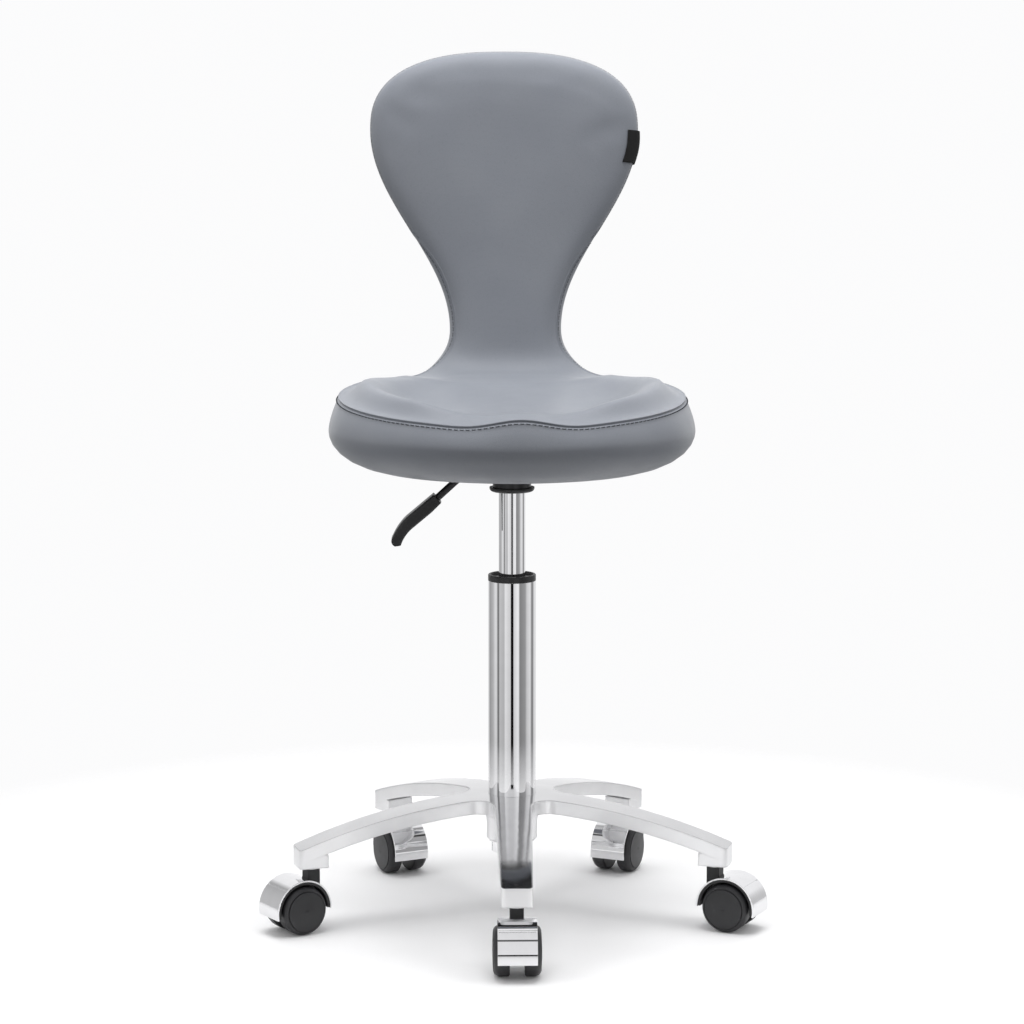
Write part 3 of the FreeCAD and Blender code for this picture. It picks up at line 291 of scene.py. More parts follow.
def column_rows():
    """Every row of points round the shell, from the top patch's edge to the under patch's edge."""
    rows = []
    marks = {}
    for share in np.linspace(1, 0, 12) ** 1.8:
        at = inset_point(seam_inset + (PATCH_REACH - seam_inset) * share)
        rows.append((at, top_lift(at[:, 0], at[:, 1])))
    marks["seam"] = len(rows) - 1
    seam_lift = rows[-1][1]
    waist = WAIST_LIFT * seat_share
    power = mix(2.2, 1.6, seat_share)
    for share in (0.992, 0.982, 0.972, 0.96, 0.945, 0.925, 0.905, 0.888, 0.87, 0.83,
                  0.72, 0.56, 0.38, 0.2, 0.08, 0.0):
        at = inset_point(seam_inset * share ** power)
        rows.append((at, waist + (seam_lift - waist) * share))
    marks["waist"] = len(rows) - 1
    slab_inset = mix(SIDE_INSET, 0.0, head_share)
    low_at = inset_point(slab_inset)
    low_lift = -slab_lift(low_at[:, 0], low_at[:, 1])
    deep = 1 - smooth(0.085, 0.235, outline[:, 1])
    rim_inset = SEAT_RADIUS - RIM_RADIUS
    for share in (0.02, 0.08, 0.17, 0.28, 0.40, 0.52, 0.63, 0.72, 0.80, 0.87, 0.93, 0.965, 0.985, 1.0):
        turn = min(share / 0.8, 1.0) * math.pi / 2
        beyond = max(share - 0.8, 0) / 0.2
        round_inset = rim_inset * (1 - math.cos(turn) ** RIM_ROUND) + (RIM_RADIUS - RECESS_RADIUS) * beyond
        drop = (RIM_DROP + WAIST_LIFT) * math.sin(turn) ** RIM_ROUND
        round_lift = WAIST_LIFT - drop + (RIM_DROP - RECESS_DROP) * beyond * beyond * (3 - 2 * beyond)
        at = inset_point(mix(slab_inset * share ** 2.2, round_inset, deep))
        rows.append((at, mix(low_lift * share, round_lift, deep)))
    marks["rear"] = len(rows) - 1
    last_inset = mix(slab_inset, SEAT_RADIUS - RECESS_RADIUS, deep)
    for share in np.linspace(0, 1, 12)[1:] ** 1.8:
        at = inset_point(last_inset + mix(PATCH_REACH - slab_inset, RECESS_PATCH, deep) * share)
        rows.append((at, under_lift(at[:, 0], at[:, 1])))
    return rows, marks


def fill_patch(edge):
    """Grid of points inside one closed row of points, following its front and its top edge near them."""
    a, b = FRONT_CELLS // 2, FRONT_CELLS // 2 + SIDE_CELLS
    c, d = b + FRONT_CELLS, b + FRONT_CELLS + SIDE_CELLS
    loop = np.concatenate([edge, edge])
    right, top = loop[a:b + 1], loop[b:c + 1][::-1]
    left, front = loop[c:d + 1][::-1], loop[d:COLUMNS + a + 1]
    u = np.linspace(0, 1, FRONT_CELLS + 1)[None, :, None]
    v = np.linspace(0, 1, SIDE_CELLS + 1)[:, None, None]
    across = (1 - u) * left[:, None] + u * right[:, None]
    front_bow = front[None] - across[:1]
    top_bow = top[None] - across[-1:]
    return across + (1 - v) ** 4 * front_bow + v ** 6 * top_bow


def patch_index(base, ring):
    """Vertex numbers of a patch grid whose rim is a ring of the rows."""
    grid = np.zeros((SIDE_CELLS + 1, FRONT_CELLS + 1), int)
    inner = np.arange((SIDE_CELLS - 1) * (FRONT_CELLS - 1)).reshape(SIDE_CELLS - 1, FRONT_CELLS - 1)
    grid[1:-1, 1:-1] = base + inner
    a, b = FRONT_CELLS // 2, FRONT_CELLS // 2 + SIDE_CELLS
    c, d = b + FRONT_CELLS, b + FRONT_CELLS + SIDE_CELLS
    loop = ring + np.concatenate([np.arange(COLUMNS), np.arange(COLUMNS)])
    grid[:, -1] = loop[a:b + 1]
    grid[-1, :] = loop[b:c + 1][::-1]
    grid[:, 0] = loop[c:d + 1][::-1]
    grid[0, :] = loop[d:COLUMNS + a + 1]
    return grid


def quads(grid):
    return np.stack([grid[:-1, :-1], grid[:-1, 1:], grid[1:, 1:], grid[1:, :-1]], -1).reshape(-1, 4)


def mesh_object(name, points, faces, smooth_faces=True):
    mesh = bpy.data.meshes.new(name)
    mesh.from_pydata([tuple(p) for p in points], [], [tuple(int(i) for i in f) for f in faces])
    mesh.validate()
    if smooth_faces:
        mesh.polygons.foreach_set("use_smooth", [True] * len(mesh.polygons))
    obj = bpy.data.objects.new(name, mesh)
    bpy.context.scene.collection.objects.link(obj)
    return obj


def grid_normals(rows):
    """Outward unit normals of a closed-round grid of rows of points."""
    around = np.roll(rows, -1, 1) - np.roll(rows, 1, 1)
    down = np.gradient(rows, axis=0)
    normal = np.cross(around, down)
    size = np.linalg.norm(normal, axis=2, keepdims=True)
    return normal / np.maximum(size, 1e-12)


def build_cushion():
    """Mesh of the whole cushion, with the seam's fold and grooves, and its rows for the stitches."""
    rows, marks = column_rows()
    places = np.stack([on_spine(at[:, 0], at[:, 1], lift) for at, lift in rows])
    count = len(rows)
    run = np.concatenate([np.zeros((1, COLUMNS)),
                          np.cumsum(np.linalg.norm(np.diff(places, axis=0), axis=2), axis=0)])
    below = run - run[marks["seam"]]
    away = np.minimum(np.where(below > 0, 1.0, -below), np.abs(run - run[marks["rear"]]))
    normals = grid_normals(places)
    for turn in range(3):
        normals = (normals + np.roll(normals, 1, 1) + np.roll(normals, -1, 1)) / 3
    normals /= np.maximum(np.linalg.norm(normals, axis=2, keepdims=True), 1e-12)
    lip, depth = 0.0016, 0.0007
    close = np.clip(1 - away / lip, 0, 1)
    groove = depth * (1 - np.sqrt(1 - close ** 2))
    fold = -depth * smooth(0.0006, 0, below) + 0.0009 * np.exp(-((below - 0.0011) / 0.0007) ** 2)
    fold -= 0.0005 * np.exp(-((below - STITCH_DROP) / 0.0009) ** 2)
    places = places + normals * (np.where(below >= 0, fold * band_share, 0) - groove)[..., None]
    top_edge, under_edge = rows[0][0], rows[-1][0]
    top_grid, under_grid = fill_patch(top_edge), fill_patch(under_edge)
    top_inner = top_grid[1:-1, 1:-1].reshape(-1, 2)
    under_inner = under_grid[1:-1, 1:-1].reshape(-1, 2)
    top_places = on_spine(*top_inner.T, top_lift(*top_inner.T))
    under_places = on_spine(*under_inner.T, under_lift(*under_inner.T))
    points = np.concatenate([places.reshape(-1, 3), top_places, under_places])
    inner_start = count * COLUMNS
    index = np.arange(inner_start).reshape(count, COLUMNS)
    closed = np.concatenate([index, index[:, :1]], axis=1)
    faces = [
        quads(closed)[:, ::-1],
        quads(patch_index(inner_start, 0)),
        quads(patch_index(inner_start + len(top_inner), (count - 1) * COLUMNS))[:, ::-1],
    ]
    cushion = mesh_object("cushion", points, np.concatenate(faces))
    mesh = bmesh.new()
    mesh.from_mesh(cushion.data)
    bmesh.ops.remove_doubles(mesh, verts=mesh.verts, dist=0.00002)
    bmesh.ops.recalc_face_normals(mesh, faces=mesh.faces)
    mesh.to_mesh(cushion.data)
    mesh.free()
    return cushion, places, normals, run, marks


def nearest(tree_points, wanted, count):
    """Distances to and numbers of the nearest points of a cloud, for each wanted point."""
    tree = KDTree(len(tree_points))
    for number, point in enumerate(tree_points):
        tree.insert(point, number)
    tree.balance()
    found = [tree.find_n(point, count) for point in wanted]
    return (np.array([[hit[2] for hit in hits] for hits in found]),
            np.array([[hit[1] for hit in hits] for hits in found]))


def vertex_places(mesh):
    places = np.empty(len(mesh.vertices) * 3)
    mesh.vertices.foreach_get("co", places)
    return places.reshape(-1, 3)


def blown_skin(source, seam_points):
    """A coarse cloth skin over the cushion at rest, and how far its stuffing pushes each point out."""
    skin = source.copy()
    skin.data = source.data.copy()
    bpy.context.scene.collection.objects.link(skin)
    remesh = skin.modifiers.new("remesh", "REMESH")
    remesh.mode = "VOXEL"
    remesh.voxel_size = SKIN_CELL
    graph = bpy.context.evaluated_depsgraph_get()
    coarse = bpy.data.meshes.new_from_object(skin.evaluated_get(graph))
    skin.modifiers.clear()
    skin.data = coarse
    rest = vertex_places(coarse)
    to_seam = nearest(seam_points, rest, 1)[0][:, 0]
    under_board = (np.hypot(rest[:, 0], rest[:, 1]) < RIM_RADIUS) & (rest[:, 2] < SEAT_LEVEL)
    held = skin.vertex_groups.new(name="held")
    held.add([int(i) for i in np.nonzero((to_seam < SEAM_HOLD) | under_board)[0]], 1.0, "REPLACE")
    cloth = skin.modifiers.new("cloth", "CLOTH")
    cloth.settings.quality = 6
    cloth.settings.mass = 0.4
    cloth.settings.tension_stiffness = 15
    cloth.settings.compression_stiffness = 15
    cloth.settings.shear_stiffness = 6
    cloth.settings.bending_stiffness = 0.8
    cloth.settings.use_pressure = True
    cloth.settings.uniform_pressure_force = 4.0
    cloth.settings.vertex_group_mass = "held"
    cloth.settings.effector_weights.gravity = 0
    cloth.point_cache.frame_start = 1
    cloth.point_cache.frame_end = CLOTH_FRAMES
    for number in range(1, CLOTH_FRAMES + 1):
        bpy.context.scene.frame_set(number)
    graph = bpy.context.evaluated_depsgraph_get()
    moved = vertex_places(skin.evaluated_get(graph).data)
    bpy.data.objects.remove(skin)
    bpy.context.scene.frame_set(1)
    shift = moved - rest
    size = np.linalg.norm(shift, axis=1, keepdims=True)
    return rest, shift * np.minimum(1, FILL_CAP / np.maximum(size, 1e-9))


def stuff(source, seam_points):
    """Move the cushion's points out with the blown skin, with nothing moved at the seams."""
    rest, shift = blown_skin(source, seam_points)
    places = vertex_places(source.data)
    far, number = nearest(rest, places, FILL_NEIGHBOURS)
    weight = np.exp(-(far / (1.6 * SKIN_CELL)) ** 2) + 1e-9
    push = (shift[number] * weight[..., None]).sum(1) / weight.sum(1)[:, None]
    to_seam = nearest(seam_points, places, 1)[0][:, 0]
    push *= (FILL_SHARE * smooth(0.006, 0.045, to_seam))[:, None]
    source.data.vertices.foreach_set("co", (places + push).ravel())
    source.data.update()


def wrap(source, board):
    """Move the cushion's points out until the board lies inside it, spread softly round each such place."""
    bpy.context.view_layer.update()
    tree = BVHTree.FromPolygons([board.matrix_world @ point.co for point in board.data.vertices],
                                [tuple(face.vertices) for face in board.data.polygons])
    mesh = source.data
    places = vertex_places(mesh)
    normals = np.array([tuple(point.normal) for point in mesh.vertices])
    reach = np.hypot(places[:, 0], places[:, 1])
    free = (reach > RECESS_RADIUS + RECESS_MARGIN) | (places[:, 2] > SEAT_LEVEL)
    needed = np.zeros(len(places))
    for number in np.nonzero(free)[0]:
        normal = Vector(normals[number])
        start = Vector(places[number]) + normal * BOARD_REACH
        hit, face_normal, _, far = tree.ray_cast(start, -normal, BOARD_REACH + BOARD_GAP)
        if hit is not None and face_normal.dot(normal) > 0:
            needed[number] = BOARD_REACH - far + BOARD_GAP
    edges = np.array([tuple(edge.vertices) for edge in mesh.edges])
    degree = np.bincount(edges.ravel(), minlength=len(places))
    amount = needed.copy()
    for turn in range(SPREAD_ROUNDS):
        around = (np.bincount(edges[:, 0], amount[edges[:, 1]], len(places))
                  + np.bincount(edges[:, 1], amount[edges[:, 0]], len(places))) / degree
        amount = np.maximum(needed, 0.4 * amount + 0.6 * around) * free
    mesh.vertices.foreach_set("co", (places + normals * amount[:, None]).ravel())
    mesh.update()


cushion, row_places, row_normals, row_run, marks = build_cushion()
stuff(cushion, np.concatenate([row_places[marks["seam"]], row_places[marks["rear"]]]))
wrap(cushion, nodes["shell_board"])
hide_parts("seat_foam", "back_foam", "cover")
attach(cushion, "seat")


# ---------------------------------------------------------------- stitches

def row_curve(offset, from_seam):
    """Points on the shell at a distance from a seam, down the rows, with their normals."""
    want = row_run[marks[from_seam]] + offset
    points = np.zeros((COLUMNS, 3))
    normals = np.zeros((COLUMNS, 3))
    for column in range(COLUMNS):
        run = row_run[:, column] + np.arange(len(row_run)) * 1e-9
        for axis in range(3):
            points[column, axis] = np.interp(want[column], run, row_places[:, column, axis])
            normals[column, axis] = np.interp(want[column], run, row_normals[:, column, axis])
    return points, normals / np.linalg.norm(normals, axis=1)[:, None]


def stitch_row(name, offset, from_seam, radius, keep):
    """One mesh of short stitches along a seam, where keep says yes to the distance along the spine."""
    points, normals = row_curve(offset, from_seam)
    loop = np.concatenate([points, points[:1]])
    loop_normals = np.concatenate([normals, normals[:1]])
    run = np.concatenate([[0], np.cumsum(np.linalg.norm(np.diff(loop, axis=0), axis=1))])
    station = np.concatenate([outline[:, 1], outline[:1, 1]])
    count = int(run[-1] / STITCH_PITCH)
    sides, sections = 8, 7
    verts, faces = [], []
    for number in range(count):
        middle = (number + 0.5) * run[-1] / count
        if not keep(np.interp(middle, run, station)):
            continue
        start = len(verts)
        for section in range(sections):
            share = section / (sections - 1) * 2 - 1
            at = middle + share * STITCH_LENGTH / 2
            centre = np.array([np.interp(at, run, loop[:, axis]) for axis in range(3)])
            ahead = np.array([np.interp(at + 1e-3, run, loop[:, axis]) for axis in range(3)]) - centre
            up = np.array([np.interp(at, run, loop_normals[:, axis]) for axis in range(3)])
            ahead /= np.linalg.norm(ahead) + 1e-12
            side = np.cross(up, ahead)
            side /= np.linalg.norm(side)
            up = np.cross(ahead, side)
            centre = centre + up * radius * (0.75 - 1.7 * share ** 4)
            thick = radius * (1 - 0.45 * share ** 6)
            for spoke in range(sides):
                angle = 2 * math.pi * spoke / sides
                verts.append(centre + thick * (math.cos(angle) * side + math.sin(angle) * up))
        for section in range(sections - 1):
            for spoke in range(sides):
                after = (spoke + 1) % sides
                a = start + section * sides
                faces.append((a + spoke, a + after, a + sides + after, a + sides + spoke))
        faces.append(tuple(start + spoke for spoke in reversed(range(sides))))
        faces.append(tuple(start + (sections - 1) * sides + spoke for spoke in range(sides)))
    stitches = mesh_object(name, verts, faces)
    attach(stitches, "seat")
    return stitches


stitches = [
    stitch_row("stitches_band", STITCH_DROP, "seam", 0.00080, lambda at: at < BAND_END),
    stitch_row("stitches_head", -0.0030, "seam", 0.00055, lambda at: at >= BAND_END),
    stitch_row("stitches_rear", 0.0032, "rear", 0.00055, lambda at: at >= 0.24),
]


# ---------------------------------------------------------------- tag

def build_tag():
    """Folded woven ribbon, blank, sewn round the side edge of the head."""
    low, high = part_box("cover_tag")
    around, up = 48, 24
    places = np.zeros((up + 1, around + 1, 3))
    for row in range(up + 1):
        share = row / up
        height = mix(low.z + 0.002, high.z - 0.001, share)
        along = np.full(around + 1, station_at(height))
        edge = np.interp(along[0], flank_part[:, 1], flank_part[:, 0])
        turn = np.linspace(-1, 1, around + 1)
        across = edge - TAG_REACH * np.abs(turn) ** 1.7
        lift = -np.sign(turn) * slab_lift(across, along)
        on = on_spine(across, along, lift)
        off = on_spine(across + 0.3, along, lift * 1.6) - on
        off /= np.linalg.norm(off, axis=1)[:, None]
        stand = 0.0009 + TAG_LOOP * (1 - turn ** 2) ** 2 * (0.75 + 0.25 * math.sin(math.pi * share))
        ripple = 0.0003 * np.sin(7.0 * turn + 4.0 * share)
        places[row] = on + off * (stand + ripple)[:, None]
    index = np.arange((up + 1) * (around + 1)).reshape(up + 1, around + 1)
    tag = mesh_object("tag", places.reshape(-1, 3), quads(index))
    wall = tag.modifiers.new("cloth_thickness", "SOLIDIFY")
    wall.thickness = TAG_SHEET
    wall.offset = 1
    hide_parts("cover_tag")
    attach(tag, "seat")
    return tag


tag = build_tag()


# ---------------------------------------------------------------- materials

def material(name):
    made = bpy.data.materials.new(name)
    made.use_nodes = True
    tree = made.node_tree
    return made, tree, tree.nodes["Principled BSDF"]


def link(tree, out, into):
    tree.links.new(out, into)


def feed(tree, source, socket):
    """Link a socket to another node's output, or set it to a constant."""
    if isinstance(source, bpy.types.NodeSocket):
        link(tree, source, socket)
    else:
        socket.default_value = source


def add(tree, kind, **sockets):
    node = tree.nodes.new(kind)
    for name, value in sockets.items():
        node.inputs[name.replace("_", " ")].default_value = value
    return node


def object_coords(tree):
    return tree.nodes.new("ShaderNodeTexCoord").outputs["Object"]


def ramp(tree, source, stops):
    node = tree.nodes.new("ShaderNodeValToRGB")
    node.color_ramp.elements[0].position = stops[0][0]
    node.color_ramp.elements[0].color = (*stops[0][1], 1)
    node.color_ramp.elements[1].position = stops[-1][0]
    node.color_ramp.elements[1].color = (*stops[-1][1], 1)
    for place, colour in stops[1:-1]:
        node.color_ramp.elements.new(place).color = (*colour, 1)
    link(tree, source, node.inputs["Fac"])
    return node.outputs["Color"]


def span(tree, source, low, high, from_low=0.0, from_high=1.0):
    node = tree.nodes.new("ShaderNodeMapRange")
    node.inputs["From Min"].default_value = from_low
    node.inputs["From Max"].default_value = from_high
    node.inputs["To Min"].default_value = low
    node.inputs["To Max"].default_value = high
    link(tree, source, node.inputs["Value"])
    return node.outputs["Result"]


def noise(tree, coords, scale, detail=3.0, rough=0.5):
    node = add(tree, "ShaderNodeTexNoise", Scale=scale, Detail=detail, Roughness=rough)
    link(tree, coords, node.inputs["Vector"])
    return node.outputs["Fac"]


def bump(tree, height, strength, distance, before=None):
    node = add(tree, "ShaderNodeBump", Strength=strength, Distance=distance)
    link(tree, height, node.inputs["Height"])
    if before is not None:
        link(tree, before, node.inputs["Normal"])
    return node.outputs["Normal"]


def soft_edges(tree, radius):
    """Normals that round every hard edge a little, as on a real casting or moulding."""
    return add(tree, "ShaderNodeBevel", Radius=radius).outputs["Normal"]


def streaks(tree, coords, scale, stretch):
    """Fine polishing lines, drawn out along one direction."""
    node = add(tree, "ShaderNodeMapping", Scale=stretch)
    link(tree, coords, node.inputs["Vector"])
    return noise(tree, node.outputs["Vector"], scale, 4.0, 0.55)


def arithmetic(tree, operation, first, second):
    node = tree.nodes.new("ShaderNodeMath")
    node.operation = operation
    feed(tree, first, node.inputs[0])
    feed(tree, second, node.inputs[1])
    return node.outputs["Value"]


def blend(tree, share, first, second, kind="FLOAT", way="MIX"):
    """Mix of two numbers, or of two colours with kind RGBA."""
    node = tree.nodes.new("ShaderNodeMix")
    node.data_type = kind
    node.blend_type = way
    for socket, source in (("Factor", share), ("A", first), ("B", second)):
        feed(tree, source, node.inputs[socket])
    return node.outputs["Result"]


def leather():
    """Blue-grey synthetic leather: pebble grain, pores, faint rubbed patches and a satin topcoat."""
    made, tree, shader = material("leather")
    coords = object_coords(tree)
    broad = noise(tree, coords, 7.0, 3.0)
    colour = ramp(tree, broad, [(0.3, (0.200, 0.214, 0.243)), (0.5, (0.213, 0.227, 0.255)),
                                (0.7, (0.226, 0.240, 0.267))])
    cells = add(tree, "ShaderNodeTexVoronoi", Scale=820.0, Randomness=0.9)
    cells.feature = "DISTANCE_TO_EDGE"
    warp = add(tree, "ShaderNodeTexNoise", Scale=240.0, Detail=2.0)
    link(tree, coords, warp.inputs["Vector"])
    bend = tree.nodes.new("ShaderNodeVectorMath")
    bend.operation = "MULTIPLY_ADD"
    bend.inputs[1].default_value = (0.0012, 0.0012, 0.0012)
    link(tree, warp.outputs["Color"], bend.inputs[0])
    link(tree, coords, bend.inputs[2])
    link(tree, bend.outputs["Vector"], cells.inputs["Vector"])
    pebbles = span(tree, cells.outputs["Distance"], 0.0, 1.0, 0.0, 0.22)
    creases = ramp(tree, pebbles, [(0.0, (0.86, 0.86, 0.87)), (0.5, (1.0, 1.0, 1.0))])
    link(tree, blend(tree, 1, colour, creases, "RGBA", "MULTIPLY"), shader.inputs["Base Color"])
    rubbed = span(tree, noise(tree, coords, 22.0, 4.0), 0.34, 0.46, 0.3, 0.7)
    link(tree, rubbed, shader.inputs["Roughness"])
    first = bump(tree, pebbles, 0.20, 0.0002)
    second = bump(tree, noise(tree, coords, 1500.0, 2.0), 0.12, 0.0002, first)
    link(tree, bump(tree, noise(tree, coords, 38.0, 2.0), 0.10, 0.0010, second), shader.inputs["Normal"])
    shader.inputs["Specular IOR Level"].default_value = 0.55
    shader.inputs["Sheen Weight"].default_value = 0.12
    shader.inputs["Sheen Roughness"].default_value = 0.4
    return made


def thread():
    """Twisted sewing thread coloured near black: painted shade of the stitch holes, on thread that is grey like
    the leather.
    """
    made, tree, shader = material("thread")
    coords = object_coords(tree)
    # Near-black colour: painted shade of the stitch holes.
    colour = ramp(tree, noise(tree, coords, 700.0),
                  [(0.3, (0.028, 0.031, 0.038)), (0.7, (0.060, 0.065, 0.075))])
    link(tree, colour, shader.inputs["Base Color"])
    link(tree, bump(tree, noise(tree, coords, 2500.0), 0.4, 0.0002), shader.inputs["Normal"])
    shader.inputs["Roughness"].default_value = 0.6
    return made


def metal(name, tint, low, high, scale=80.0, dents=0.02, edge=0.0004):
    """Plated or turned metal with faint smears, fine scratches and rounded edges."""
    made, tree, shader = material(name)
    coords = object_coords(tree)
    shader.inputs["Metallic"].default_value = 1.0
    colour = ramp(tree, noise(tree, coords, scale), [(0.3, tuple(c * 0.96 for c in tint)), (0.7, tint)])
    link(tree, colour, shader.inputs["Base Color"])
    smears = span(tree, noise(tree, coords, scale * 0.4, 5.0), low, high, 0.35, 0.75)
    scratches = span(tree, streaks(tree, coords, 900.0, (1, 1, 0.06)), 0.0, high * 0.5, 0.62, 0.80)
    link(tree, arithmetic(tree, "ADD", smears, scratches), shader.inputs["Roughness"])
    normal = bump(tree, noise(tree, coords, scale * 0.5, 2.0), dents, 0.0005, soft_edges(tree, edge))
    link(tree, normal, shader.inputs["Normal"])
    return made


def cast_aluminium():
    """Mirror-polished on top, satin on the upright walls and as cast underneath; the tops' base colour is painted
    darker than the walls' as painted shade.
    """
    made, tree, shader = material("polished_aluminium")
    coords = object_coords(tree)
    shader.inputs["Metallic"].default_value = 1.0
    geometry = tree.nodes.new("ShaderNodeNewGeometry")
    split = tree.nodes.new("ShaderNodeSeparateXYZ")
    link(tree, geometry.outputs["True Normal"], split.inputs["Vector"])
    upward = span(tree, split.outputs["Z"], 0.0, 1.0, 0.35, 0.70)
    downward = span(tree, split.outputs["Z"], 0.0, 1.0, -0.25, -0.60)
    lines = streaks(tree, coords, 260.0, (1, 1, 6.0))
    mirror = span(tree, noise(tree, coords, 120.0, 6.0, 0.6), 0.05, 0.12)
    satin = span(tree, lines, 0.28, 0.40)
    cast = span(tree, noise(tree, coords, 260.0, 5.0, 0.7), 0.40, 0.55)
    rough = blend(tree, downward, blend(tree, upward, satin, mirror), cast)
    link(tree, rough, shader.inputs["Roughness"])
    broad = noise(tree, coords, 25.0)
    # Base colour by facing: the upward tops get a much darker tone than the walls, painted shade that dims their
    # mirror reflection.
    walls = ramp(tree, broad, [(0.3, (0.83, 0.83, 0.838)), (0.7, (0.90, 0.90, 0.905))])
    top = ramp(tree, broad, [(0.3, (0.61, 0.61, 0.618)), (0.7, (0.67, 0.67, 0.677))])
    link(tree, blend(tree, upward, walls, top, "RGBA"), shader.inputs["Base Color"])
    waviness = bump(tree, noise(tree, coords, 30.0, 2.0), 0.10, 0.0010, soft_edges(tree, 0.0026))
    link(tree, bump(tree, lines, 0.03, 0.0001, waviness), shader.inputs["Normal"])
    return made


def plastic(name, tint, low, high, grain=1600.0, depth=0.12):
    """Moulded plastic: fine spark grain, patches of sheen and lighter scuffs."""
    made, tree, shader = material(name)
    coords = object_coords(tree)
    scuff = tuple(c * 1.9 + 0.006 for c in tint)
    colour = ramp(tree, noise(tree, coords, 55.0, 7.0, 0.65), [(0.3, tuple(c * 0.8 for c in tint)),
                                                             (0.62, tint), (0.80, scuff)])
    link(tree, colour, shader.inputs["Base Color"])
    link(tree, span(tree, noise(tree, coords, 120.0, 4.0), low, high), shader.inputs["Roughness"])
    normal = bump(tree, noise(tree, coords, grain, 3.0), depth, 0.0002, soft_edges(tree, 0.0005))
    link(tree, normal, shader.inputs["Normal"])
    return made


def plywood():
    """Bare birch board with a wavy grain."""
    made, tree, shader = material("plywood")
    coords = object_coords(tree)
    wave = add(tree, "ShaderNodeTexWave", Scale=40.0, Distortion=4.0, Detail=3.0)
    link(tree, coords, wave.inputs["Vector"])
    colour = ramp(tree, wave.outputs["Fac"], [(0.2, (0.42, 0.27, 0.14)), (0.8, (0.55, 0.38, 0.21))])
    link(tree, colour, shader.inputs["Base Color"])
    link(tree, bump(tree, wave.outputs["Fac"], 0.1, 0.0003), shader.inputs["Normal"])
    shader.inputs["Roughness"].default_value = 0.7
    return made


def woven(name, tint, scale=420.0):
    """Dark cloth with a ribbed weave."""
    made, tree, shader = material(name)
    coords = object_coords(tree)
    wave = add(tree, "ShaderNodeTexWave", Scale=scale, Distortion=0.6, Detail=1.0)
    link(tree, coords, wave.inputs["Vector"])
    colour = ramp(tree, wave.outputs["Fac"], [(0.2, tuple(c * 0.6 for c in tint)), (0.8, tint)])
    link(tree, colour, shader.inputs["Base Color"])
    link(tree, bump(tree, wave.outputs["Fac"], 0.3, 0.0004), shader.inputs["Normal"])
    shader.inputs["Roughness"].default_value = 0.85
    return made


finishes = {
    "polished_aluminium": cast_aluminium(),
    "chrome": metal("chrome", (0.86, 0.86, 0.87), 0.02, 0.06),
    "steel": metal("steel", (0.60, 0.60, 0.61), 0.22, 0.36),
    "black_steel": metal("black_steel", (0.05, 0.05, 0.052), 0.30, 0.45),
    "black_plastic": plastic("black_plastic", (0.014, 0.014, 0.015), 0.34, 0.48),
    "wheel_plastic": plastic("wheel_plastic", (0.020, 0.020, 0.022), 0.38, 0.52),
    "rubber": plastic("rubber", (0.03, 0.03, 0.03), 0.6, 0.75),
    "plywood": plywood(),
    "foam": plastic("foam", (0.7, 0.62, 0.4), 0.8, 0.9),
    "cover_leather": leather(),
    "dust_cloth": woven("dust_cloth", (0.025, 0.025, 0.027)),
    "tag_cloth": woven("tag_cloth", (0.012, 0.012, 0.012), 900.0),
}


def paint(obj, finish):
    obj.data.materials.clear()
    obj.data.materials.append(finish)


for entry in frame["record"]["subparts"]:
    paint(nodes[entry["node"]], finishes[entry["material_slot"]])
paint(cushion, finishes["cover_leather"])
paint(tag, finishes["tag_cloth"])
# The stitches get the near-black thread, painted shade of the stitch holes.
hole_shade_thread_finish = thread()
for row in stitches:
    paint(row, hole_shade_thread_finish)


# ---------------------------------------------------------------- stage, light, camera

def make_stage():
    """Pale floor that fades into the white surround."""
    size = 4.0
    floor = mesh_object("floor", [(-size, -size, 0), (size, -size, 0), (size, size, 0), (-size, size, 0)],
                        [(0, 1, 2, 3)], False)
    made, tree, shader = material("floor")
    coords = object_coords(tree)
    shader.inputs["Roughness"].default_value = 0.7
    colour = ramp(tree, noise(tree, coords, 6.0), [(0.3, (0.89, 0.89, 0.893)), (0.7, (0.92, 0.92, 0.923))])
    link(tree, colour, shader.inputs["Base Color"])
    reach = tree.nodes.new("ShaderNodeVectorMath")
    reach.operation = "LENGTH"
    link(tree, coords, reach.inputs[0])
    link(tree, span(tree, reach.outputs["Value"], 1.0, 0.0, 0.22, 0.85), shader.inputs["Alpha"])
    paint(floor, made)


def area_light(name, place, size, power):
    """Soft lamp aimed at the object's middle, not seen in reflections."""
    lamp = bpy.data.lights.new(name, "AREA")
    lamp.energy = power
    lamp.size = size
    obj = bpy.data.objects.new(name, lamp)
    bpy.context.scene.collection.objects.link(obj)
    obj.location = place
    obj.rotation_euler = (Vector((0, 0, 0.5)) - Vector(place)).to_track_quat("-Z", "Y").to_euler()
    obj.visible_glossy = False


def grey_ramp(tree, source, low, high, stops, blue=1.0):
    """Ramp of greys whose stops are given between low and high."""
    return ramp(tree, source, [((place - low) / (high - low), (tone, tone, tone * blue)) for place, tone in stops])


# Tone of the cards round the object, by angle in degrees from the front.
CARDS = [(-180, 1.0), (-150, 0.95), (-138, 0.42), (-105, 0.62), (-90, 0.95), (-80, 0.90), (-74, 0.22),
         (-68, 0.26), (-64, 0.72), (-40, 0.62), (-34, 1.05), (-14, 0.85), (7, 0.85), (26, 1.15),
         (32, 1.05), (36, 0.30), (66, 0.42), (76, 0.80), (98, 1.0), (108, 0.34),
         (122, 0.34), (130, 0.95), (180, 1.0)]
# Tone by height, from straight down at 0 to straight up at 1.
TIERS = [(0.0, 0.12), (0.28, 0.26), (0.40, 0.8), (0.46, 1.0), (0.78, 1.0), (0.862, 1.0), (0.872, 0.12),
         (0.897, 0.12), (0.907, 1.0), (1.0, 0.95)]
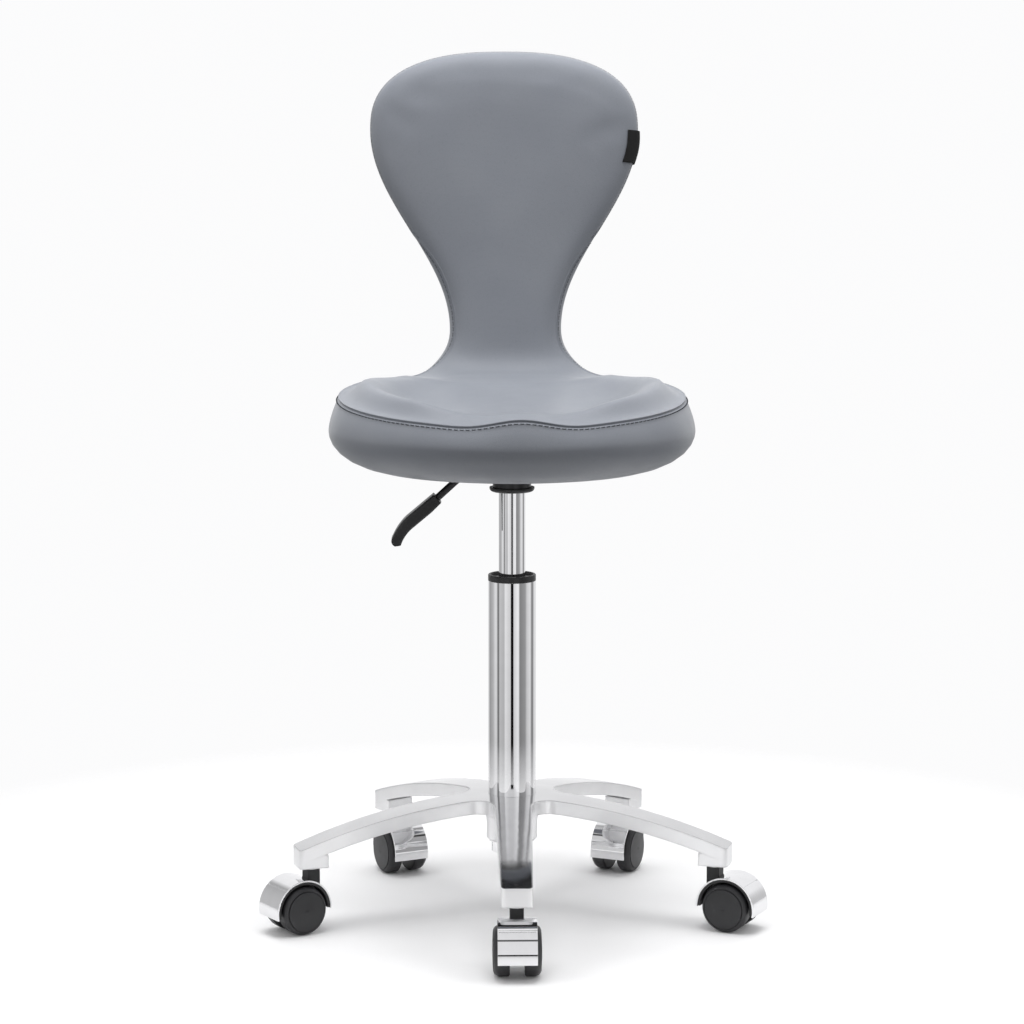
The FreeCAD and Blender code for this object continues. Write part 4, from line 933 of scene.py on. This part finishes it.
# A narrow black card in front, by angle and by height, and a softer wide one for diffuse light.
BLACK_WIDE = [(-180, 0), (-8, 0), (-6, 1), (5, 1), (7, 0), (180, 0)]
BLACK_TALL = [(-1, 0), (-0.42, 0), (-0.38, 1), (0.0, 1), (0.03, 0), (1, 0)]
FRONT_WIDE = [(-180, 0.0), (-60, 0.0), (-22, 0.75), (22, 0.75), (60, 0.0), (180, 0.0)]


def make_world():
    """White studio: what is reflected has tall bright and dark cards round the object, lighter overhead."""
    world = bpy.data.worlds.new("studio")
    world.use_nodes = True
    tree = world.node_tree
    background = tree.nodes["Background"]
    coords = tree.nodes.new("ShaderNodeTexCoord").outputs["Generated"]
    split = tree.nodes.new("ShaderNodeSeparateXYZ")
    link(tree, coords, split.inputs["Vector"])
    path = tree.nodes.new("ShaderNodeLightPath").outputs
    backward = arithmetic(tree, "MULTIPLY", split.outputs["Y"], -1)
    around = arithmetic(tree, "ARCTAN2", split.outputs["X"], backward)
    turn = span(tree, around, 0, 1, -math.pi, math.pi)
    upness = span(tree, split.outputs["Z"], 0, 1, -1, 1)
    level = grey_ramp(tree, turn, -180, 180, CARDS, 1.01)
    height = grey_ramp(tree, upness, 0, 1, TIERS)
    product = blend(tree, 1, level, height, "RGBA", "MULTIPLY")
    seen = blend(tree, path["Is Camera Ray"], product, (0.97, 0.97, 0.975, 1), "RGBA")
    link(tree, seen, background.inputs["Color"])
    black_wide = grey_ramp(tree, turn, -180, 180, BLACK_WIDE)
    black_tall = grey_ramp(tree, upness, -1, 1, BLACK_TALL)
    lit = span(tree, arithmetic(tree, "MULTIPLY", black_wide, black_tall), 1.0, 0.0)
    soft = span(tree, grey_ramp(tree, turn, -180, 180, FRONT_WIDE), 1.0, 0.0)
    chosen = blend(tree, path["Is Diffuse Ray"], lit, soft)
    shown = arithmetic(tree, "MAXIMUM", chosen, path["Is Camera Ray"])
    link(tree, shown, background.inputs["Strength"])
    bpy.context.scene.world = world


def make_camera():
    """Camera in front, a little above the seat, looking slightly down."""
    image_size, focal_pixels = 1024, 2908.0
    azimuth, distance, height, pitch = math.radians(-1.2), 3.0, 0.842, math.radians(7.91)
    data = bpy.data.cameras.new("camera")
    data.sensor_width = 36
    data.lens = focal_pixels / image_size * data.sensor_width
    data.clip_end = 50
    camera = bpy.data.objects.new("camera", data)
    bpy.context.scene.collection.objects.link(camera)
    camera.location = (math.sin(azimuth) * distance, -math.cos(azimuth) * distance, height)
    forward = Vector((-math.sin(azimuth) * math.cos(pitch), math.cos(azimuth) * math.cos(pitch),
                      -math.sin(pitch)))
    camera.rotation_mode = "QUATERNION"
    camera.rotation_quaternion = forward.to_track_quat("-Z", "Y")
    bpy.context.scene.camera = camera


make_stage()
make_world()
area_light("key", (-1.6, -0.7, 1.8), 1.0, 9)
area_light("fill", (1.7, -0.8, 1.7), 1.0, 10)
area_light("top", (0, 0, 2.5), 1.6, 56)
make_camera()
bpy.context.scene.view_settings.view_transform = "Standard"
